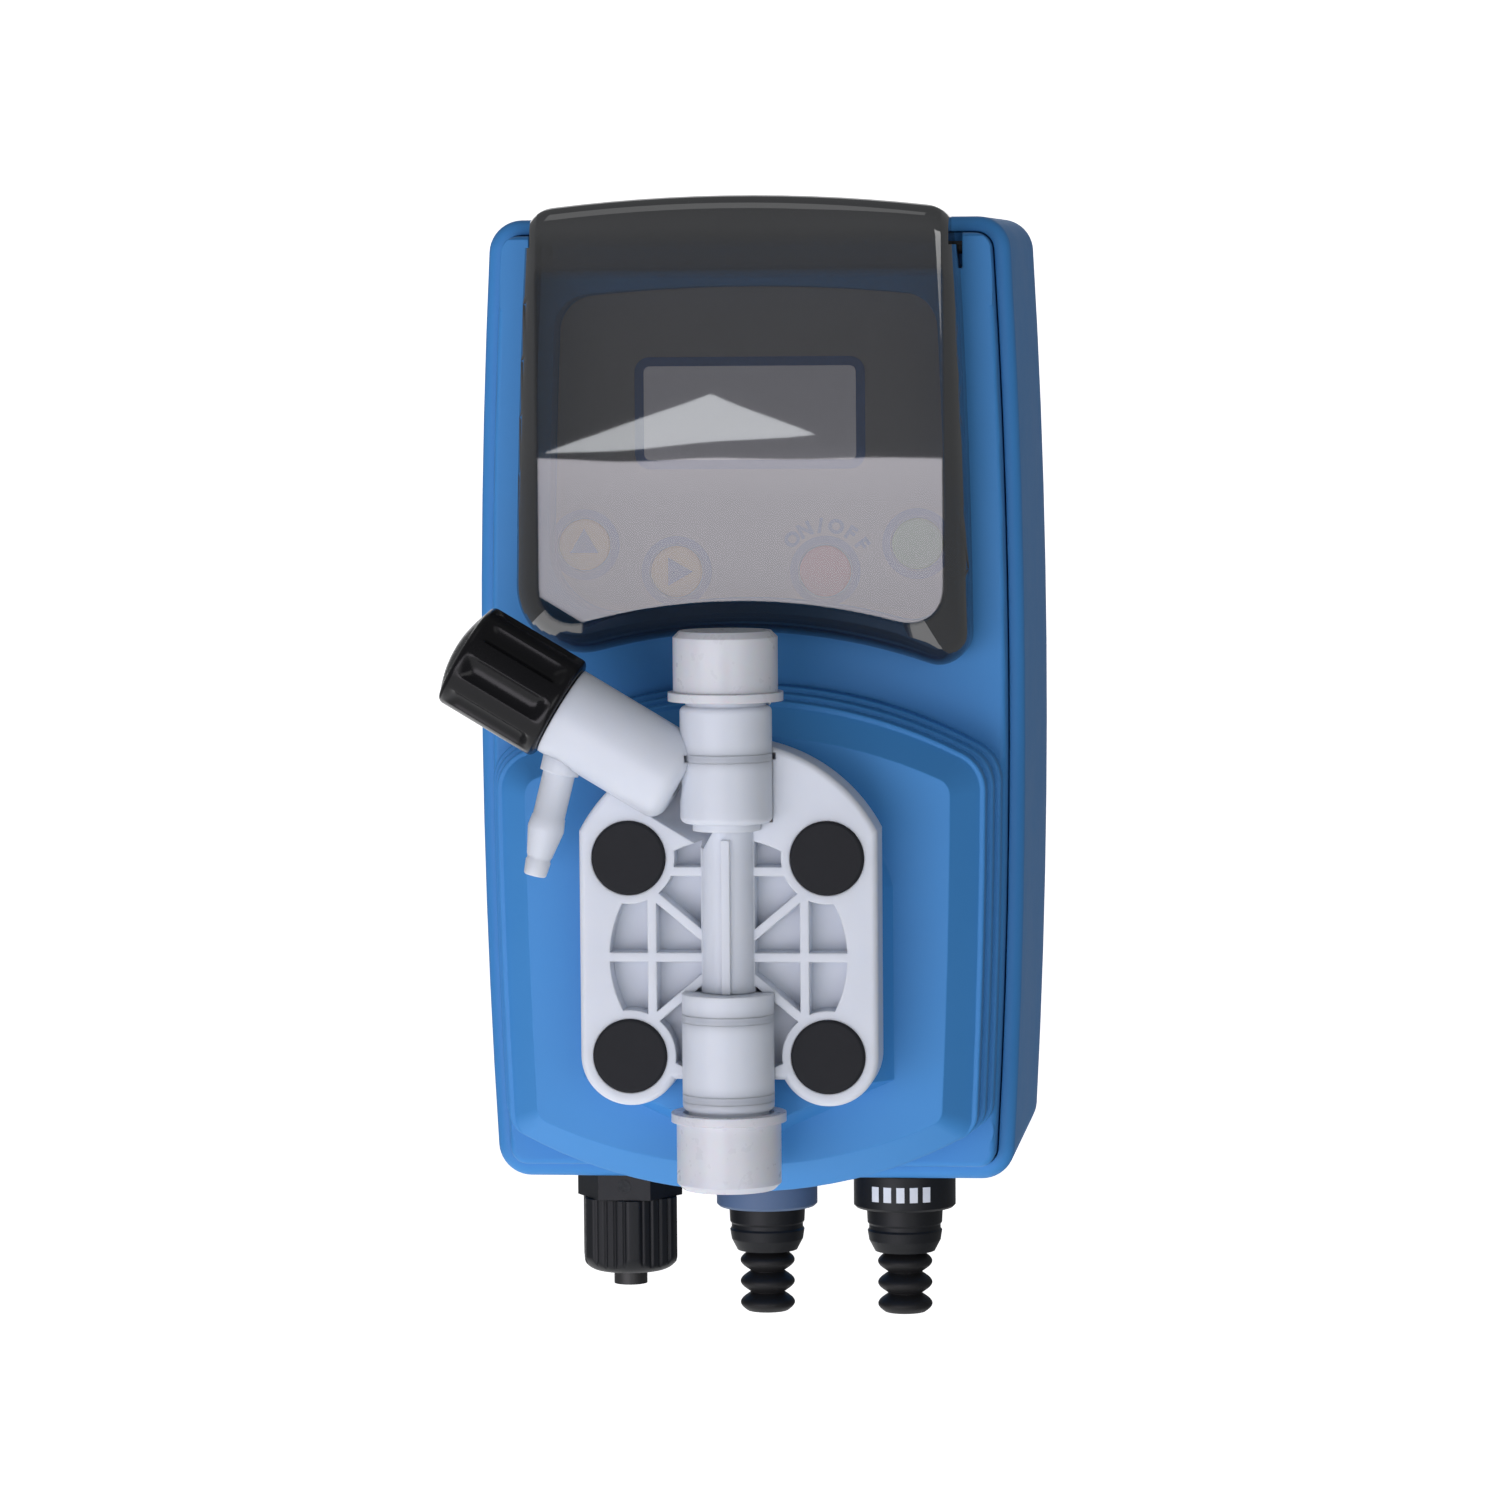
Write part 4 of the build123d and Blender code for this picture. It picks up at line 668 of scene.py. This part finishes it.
def rounded_end(rim, end, radius, corner, steps=10):
    """Profile points from the side of a turned piece over a rounded rim to a domed end on its axis."""
    points = []
    for k in range(steps + 1):
        turn = k / steps * pi / 2
        points.append((rim - corner + corner * sin(turn), radius - corner + corner * cos(turn)))
    for k in range(1, steps + 1):
        share = 1 - k / steps
        points.append((rim + (end - rim) * (1 - share ** 2), (radius - corner) * share))
    return points


knob_black = moulded("knob_black", (0.004, 0.004, 0.005), (0.007, 0.007, 0.008), 0.20, 0.8 * mm,
                     0.01 * mm, 0.4 * mm, specular_ior_level=0.22)
knob_point, knob_way = joint("bleed_turn")
knob_start, knob_rim, knob_radius = extent("bleed_knob", knob_point, knob_way)
knob_dome = 2.0 * mm
flutes = 8
flute_radius = 3.2 * mm
flute_standoff = 1.9 * mm
flute_axis = knob_radius + flute_standoff
flute_fade = 2.6 * mm
knob_corner = 1.2 * mm


def fluted(angle, along, radius):
    """Radius of the knob, less where a flute is milled into it."""
    turn = (angle + pi / flutes) % (2 * pi / flutes) - pi / flutes
    off_axis = flute_axis * sin(turn)
    if abs(off_axis) >= flute_radius:
        return radius
    floor = flute_axis * cos(turn) - sqrt(flute_radius ** 2 - off_axis ** 2)
    share = min(along - knob_start, knob_rim - along) / flute_fade - 0.5
    share = max(0.0, min(1.0, share))
    depth = max(0.0, knob_radius - floor) * share * share * (3 - 2 * share)
    return min(radius, knob_radius - depth)


corner_steps = 6
side_steps = 28
knob_profile = [(knob_start, 0.0), (knob_start, knob_radius - knob_corner)]
for k in range(1, corner_steps + 1):
    turn = k / corner_steps * pi / 2
    knob_profile.append((knob_start + knob_corner * (1 - cos(turn)),
                         knob_radius - knob_corner * (1 - sin(turn))))
side_start = knob_start + knob_corner
side_length = knob_rim - knob_corner - side_start
knob_profile += [(side_start + side_length * k / side_steps, knob_radius) for k in range(1, side_steps)]
knob_profile += rounded_end(knob_rim, knob_rim + knob_dome, knob_radius, knob_corner)
knob = turned("knob", knob_point, knob_way, knob_profile, knob_black, "bleed_knob",
              steps=192, shape=fluted, closed=False)
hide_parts("bleed_knob")
dress(ptfe, "bleed_spindle")

# The drain nozzle under it is a natural plastic spigot with one long barb and a short tip.
drain = next(entry for entry in frame["record"]["mounts"] if entry["name"] == "bleed_hose")
drain_point = Vector(drain["pos_m"])
drain_way = Vector(drain["axis"]).normalized()
nozzle_foot, nozzle_end, _ = extent("bleed_nozzle", drain_point, drain_way)
nozzle_bore = 1.3 * mm
# Each pair is the distance back from the nozzle's end and the radius there, in millimetres.
collar = [(26.3, 3.70), (20.1, 3.70)]
stem = [(20.1, 3.05), (11.6, 3.05)]
barb = [(11.4, 3.20), (9.2, 3.48), (8.9, 3.45), (3.9, 2.45)]
waist = [(3.5, 2.25), (3.1, 2.25)]
tip = [(2.8, 2.42), (0.2, 2.15), (0.0, 1.95)]
nozzle_profile = [(nozzle_end - back * mm, radius * mm)
                  for back, radius in collar + stem + barb + waist + tip]
nozzle_profile += [(nozzle_end, nozzle_bore), (nozzle_foot, nozzle_bore)]
nozzle = turned("drain_nozzle", drain_point, drain_way, nozzle_profile, head_white, "pump_case",
                steps=64)
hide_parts("bleed_nozzle")

# ---- Underside ----------------------------------------------------------------------------
# The grey socket takes the signal plug and the black one the level plug, both clamped in the
# floor of the case by a nut inside. Each plug ends in a soft bellows boot.
socket_grey = moulded("socket_grey", (0.085, 0.135, 0.235), (0.105, 0.160, 0.265), 0.48, 0.3 * mm,
                      0.02 * mm, 0.3 * mm, specular_ior_level=0.3)
dress(socket_grey, "signal_socket")

# A row of white index bars is pad printed round the front of the level socket's flange.
white_ink = printing("white_ink", (0.75, 0.77, 0.80), 0.5)
socket_low, socket_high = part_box("level_socket")
flange_middle = (socket_low + socket_high) / 2
flange_radius = (socket_high.x - socket_low.x) / 2
case_low, case_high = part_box("rear_housing")
bar_top = case_low.z - 2.0 * mm
bar_height = 3.0 * mm
bar_turn = 9.0
bar_step = 15.0
bar_facets = 4
to_front = -90.0
ink_thickness = 0.05 * mm
bars = bmesh.new()
for number in range(-2, 3):
    outline = []
    for k in range(bar_facets + 1):
        turn = radians(number * bar_step - bar_turn / 2 + k * bar_turn / bar_facets + to_front)
        outline.append(Vector((cos(turn), sin(turn), 0)))
    rows = []
    for radius in (flange_radius - ink_thickness, flange_radius + ink_thickness):
        for z in (bar_top - bar_height, bar_top):
            foot = Vector((flange_middle.x, flange_middle.y, z))
            rows.append([bars.verts.new(foot + way * radius) for way in outline])
    inner_low, inner_high, outer_low, outer_high = rows
    for k in range(bar_facets):
        bars.faces.new((outer_low[k], outer_low[k + 1], outer_high[k + 1], outer_high[k]))
        bars.faces.new((inner_low[k + 1], inner_low[k], inner_high[k], inner_high[k + 1]))
        bars.faces.new((inner_high[k], outer_high[k], outer_high[k + 1], inner_high[k + 1]))
        bars.faces.new((inner_low[k + 1], outer_low[k + 1], outer_low[k], inner_low[k]))
    for k in (0, bar_facets):
        bars.faces.new((inner_low[k], outer_low[k], outer_high[k], inner_high[k]))
bmesh.ops.recalc_face_normals(bars, faces=bars.faces)
placed("index_bars", bars, white_ink, "pump_case")

# The bellows are black rubber: three round folds, cut off a little into the first.
boot_rubber = moulded("boot_rubber", (0.008, 0.008, 0.009), (0.013, 0.013, 0.014), 0.5, 0.4 * mm,
                      0.02 * mm, 0.3 * mm, specular_ior_level=0.25)
folds = 3
fold_depth = 2.1 * mm
fold_steps = 72
cut_into_fold = 0.04
boot_clearance = 0.55 * mm
cable_bore = 2.45 * mm
for name in ("signal_boot", "level_boot"):
    boot_low, boot_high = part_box(name)
    boot_axis = Vector(((boot_low.x + boot_high.x) / 2, (boot_low.y + boot_high.y) / 2, 0))
    crest = (boot_high.x - boot_low.x) / 2 - boot_clearance
    length = boot_high.z - boot_low.z
    bellows = [(boot_low.z, cable_bore)]
    for k in range(fold_steps + 1):
        share = k / fold_steps
        swell = abs(sin(pi * folds * (cut_into_fold + (1 - cut_into_fold) * share))) ** 1.05
        bellows.append((boot_low.z + length * share, crest - fold_depth * (1 - swell)))
    bellows.append((boot_high.z, cable_bore))
    boot = turned(name + "_bellows", boot_axis, up, bellows, boot_rubber,
                  name.replace("boot", "plug"), steps=72)
    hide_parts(name)

# The gland nut is a hexagon with rounded corners, four fine grip grooves on each flat and a
# domed end round the cable hole. A small round key hole in the gland's front flat is drawn as a
# thin near-black disc: painted shade in place of the hole.
nut_point, nut_way = joint("gland_nut_turn")
nut_foot, nut_top, nut_radius = extent("gland_nut", nut_point, nut_way)
nut_turn = radians(4.0)
nut_dome = 5.6 * mm
cable_hole = 3.6 * mm
dome_foot = 6.2 * mm
grip_depth = 0.35 * mm
grip_pitch = 2.1 * mm
grip_land = 0.35
nut_rounding = 0.55 * mm


def hexagonal(angle, along, radius):
    """Radius of the nut: a rounded hexagon with grooved flats, inside its dome."""
    turn = (angle + nut_turn) % (pi / 3) - pi / 6
    flat = nut_radius * cos(pi / 6)
    hexagon = min(flat / cos(turn), nut_radius - nut_rounding)
    off_middle = flat * sin(turn) / cos(turn)
    if abs(off_middle) < 2 * grip_pitch:
        wave = cos(2 * pi * (off_middle / grip_pitch + 0.5))
        groove = max(0.0, wave - grip_land) / (1 - grip_land)
        hexagon -= grip_depth * groove
    return min(radius, hexagon)


thread_bore = cable_hole * 2
lip = 1.6 * mm
bore_foot = 3.4 * mm
flat_steps = 4
dome_steps = 14
flat_length = nut_top - nut_foot - nut_dome
nut_profile = [(nut_top, thread_bore), (nut_top, nut_radius)]
nut_profile += [(nut_top - flat_length * k / flat_steps, nut_radius) for k in range(1, flat_steps + 1)]
for k in range(1, dome_steps + 1):
    turn = k / dome_steps * pi / 2
    nut_profile.append((nut_foot + nut_dome * (1 - sin(turn)),
                        dome_foot + (nut_radius - dome_foot) * cos(turn)))
nut_profile += [(nut_foot, cable_hole), (nut_foot + lip, cable_hole), (nut_foot + bore_foot, thread_bore)]
nut = turned("grip_nut", nut_point, nut_way, nut_profile, black_filled, "gland_nut",
             steps=288, shape=hexagonal)
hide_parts("gland_nut")
# The key hole is a flat near-black disc just in front of the flat: painted shade, not a hole.
hex_front = nut_point.y - nut_radius * cos(pi / 6) - 0.03 * mm
key_hole_radius = 1.3 * mm
key_hole_drop = 2.3 * mm
painted_hole_shade = printing("painted_hole_shade", (0.001, 0.001, 0.001), 0.8)
flat_print("key_hole", [circle(key_hole_radius, 32)], (nut_point.x, hex_front, case_low.z - key_hole_drop),
           0.05 * mm, painted_hole_shade, "pump_case")

# ---- Studio -------------------------------------------------------------------------------
# White sweep that glows evenly, one broad soft key light low on the left, whose upper
# edge is mirrored in the window, a weak top light and a dim room.
scene = bpy.context.scene
scene.view_settings.view_transform = "Standard"
low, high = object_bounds()
pump_middle = (low + high) / 2

floor_material, place = finish("floor_white", roughness=0.9, emission_color=(1, 1, 1, 1),
                               emission_strength=0.75)
place.noise(0.4).mix((0.92, 0.92, 0.92), (0.94, 0.94, 0.94)).into("Base Color")
floor_drop = 0.30
sweep_radius = 0.6
sweep_back = 1.6
sweep_left = -0.75
sweep_right = 0.18
sweep_front = -1.1
sweep_height = 2.0
bend_start = sweep_back - sweep_radius
bend_steps = 16
profile = [(sweep_front, 0.0), (bend_start, 0.0)]
for k in range(1, bend_steps + 1):
    turn = k / bend_steps * pi / 2
    profile.append((bend_start + sweep_radius * sin(turn), sweep_radius * (1 - cos(turn))))
profile.append((sweep_back, sweep_height))
sweep = bmesh.new()
rows = [[sweep.verts.new((x, y, low.z - floor_drop + z)) for y, z in profile]
        for x in (sweep_left, sweep_right)]
for k in range(len(profile) - 1):
    sweep.faces.new((rows[0][k], rows[1][k], rows[1][k + 1], rows[0][k + 1]))
sweep_data = bpy.data.meshes.new("floor")
sweep.to_mesh(sweep_data)
sweep.free()
for face in sweep_data.polygons:
    face.use_smooth = True
sweep_data.materials.append(floor_material)
floor = bpy.data.objects.new("floor", sweep_data)
scene.collection.objects.link(floor)


def softbox(name, at, target, size, radiance, colour=(1.0, 1.0, 1.0)):
    """A large soft rectangular light that looks at target."""
    lamp = bpy.data.lights.new(name, "AREA")
    lamp.shape = "RECTANGLE"
    lamp.size, lamp.size_y = size
    lamp.energy = radiance * pi * size[0] * size[1]
    lamp.color = colour
    light = bpy.data.objects.new(name, lamp)
    light.location = at
    light.rotation_euler = (Vector(target) - Vector(at)).to_track_quat("-Z", "Y").to_euler()
    scene.collection.objects.link(light)


key_size = Vector((1.2, 0.76))
key_right = 0.0
key_top = 0.017
key_distance = 1.15
key_at = Vector((key_right - key_size.x / 2, -key_distance, key_top - key_size.y / 2))
softbox("key_light", key_at, (key_at.x, 0, key_at.z), key_size, 3.7, (1.02, 0.98, 1.06))

# A small three-cornered reflector over the key light, mirrored across the display.
reflector_glow = bpy.data.materials.new("reflector_glow")
reflector_glow.use_nodes = True
glow = reflector_glow.node_tree.nodes["Principled BSDF"]
glow.inputs["Emission Color"].default_value = (0.93, 0.96, 1.0, 1)
glow.inputs["Emission Strength"].default_value = 3.9
reflector = bmesh.new()
triangle = ((-0.190, 0.019), (-0.130, 0.042), (-0.092, 0.026))
reflector.faces.new([reflector.verts.new((x, key_at.y, z)) for x, z in triangle])
reflector_data = bpy.data.meshes.new("reflector")
reflector.to_mesh(reflector_data)
reflector.free()
reflector_data.materials.append(reflector_glow)
reflector_card = bpy.data.objects.new("reflector", reflector_data)
scene.collection.objects.link(reflector_card)
softbox("top_light", (-0.3, -0.7, 1.3), pump_middle, (0.8, 0.8), 0.4)
softbox("front_fill", (0.60, -1.30, -0.05), pump_middle, (0.7, 0.7), 1.9)

world = bpy.data.worlds.new("dim_room")
world.use_nodes = True
room = world.node_tree.nodes["Background"]
room.inputs["Color"].default_value = (0.95, 0.97, 1.0, 1)
room.inputs["Strength"].default_value = 0.22
scene.world = world

# The camera looks slightly down from the right, far off through a long lens.
camera_at = Vector((132.3, -1271.3, 81.3)) * mm
camera_target = Vector((-0.3, -70.0, -9.6)) * mm
camera_roll = radians(-0.45)
camera_data = bpy.data.cameras.new("camera")
camera_data.sensor_width = 36.0
camera_data.lens = 148.8
camera = bpy.data.objects.new("camera", camera_data)
camera.rotation_mode = "QUATERNION"
camera.location = camera_at
camera.rotation_quaternion = ((camera_target - camera_at).to_track_quat("-Z", "Y")
                              @ Matrix.Rotation(camera_roll, 3, "Z").to_quaternion())
scene.collection.objects.link(camera)
scene.camera = camera
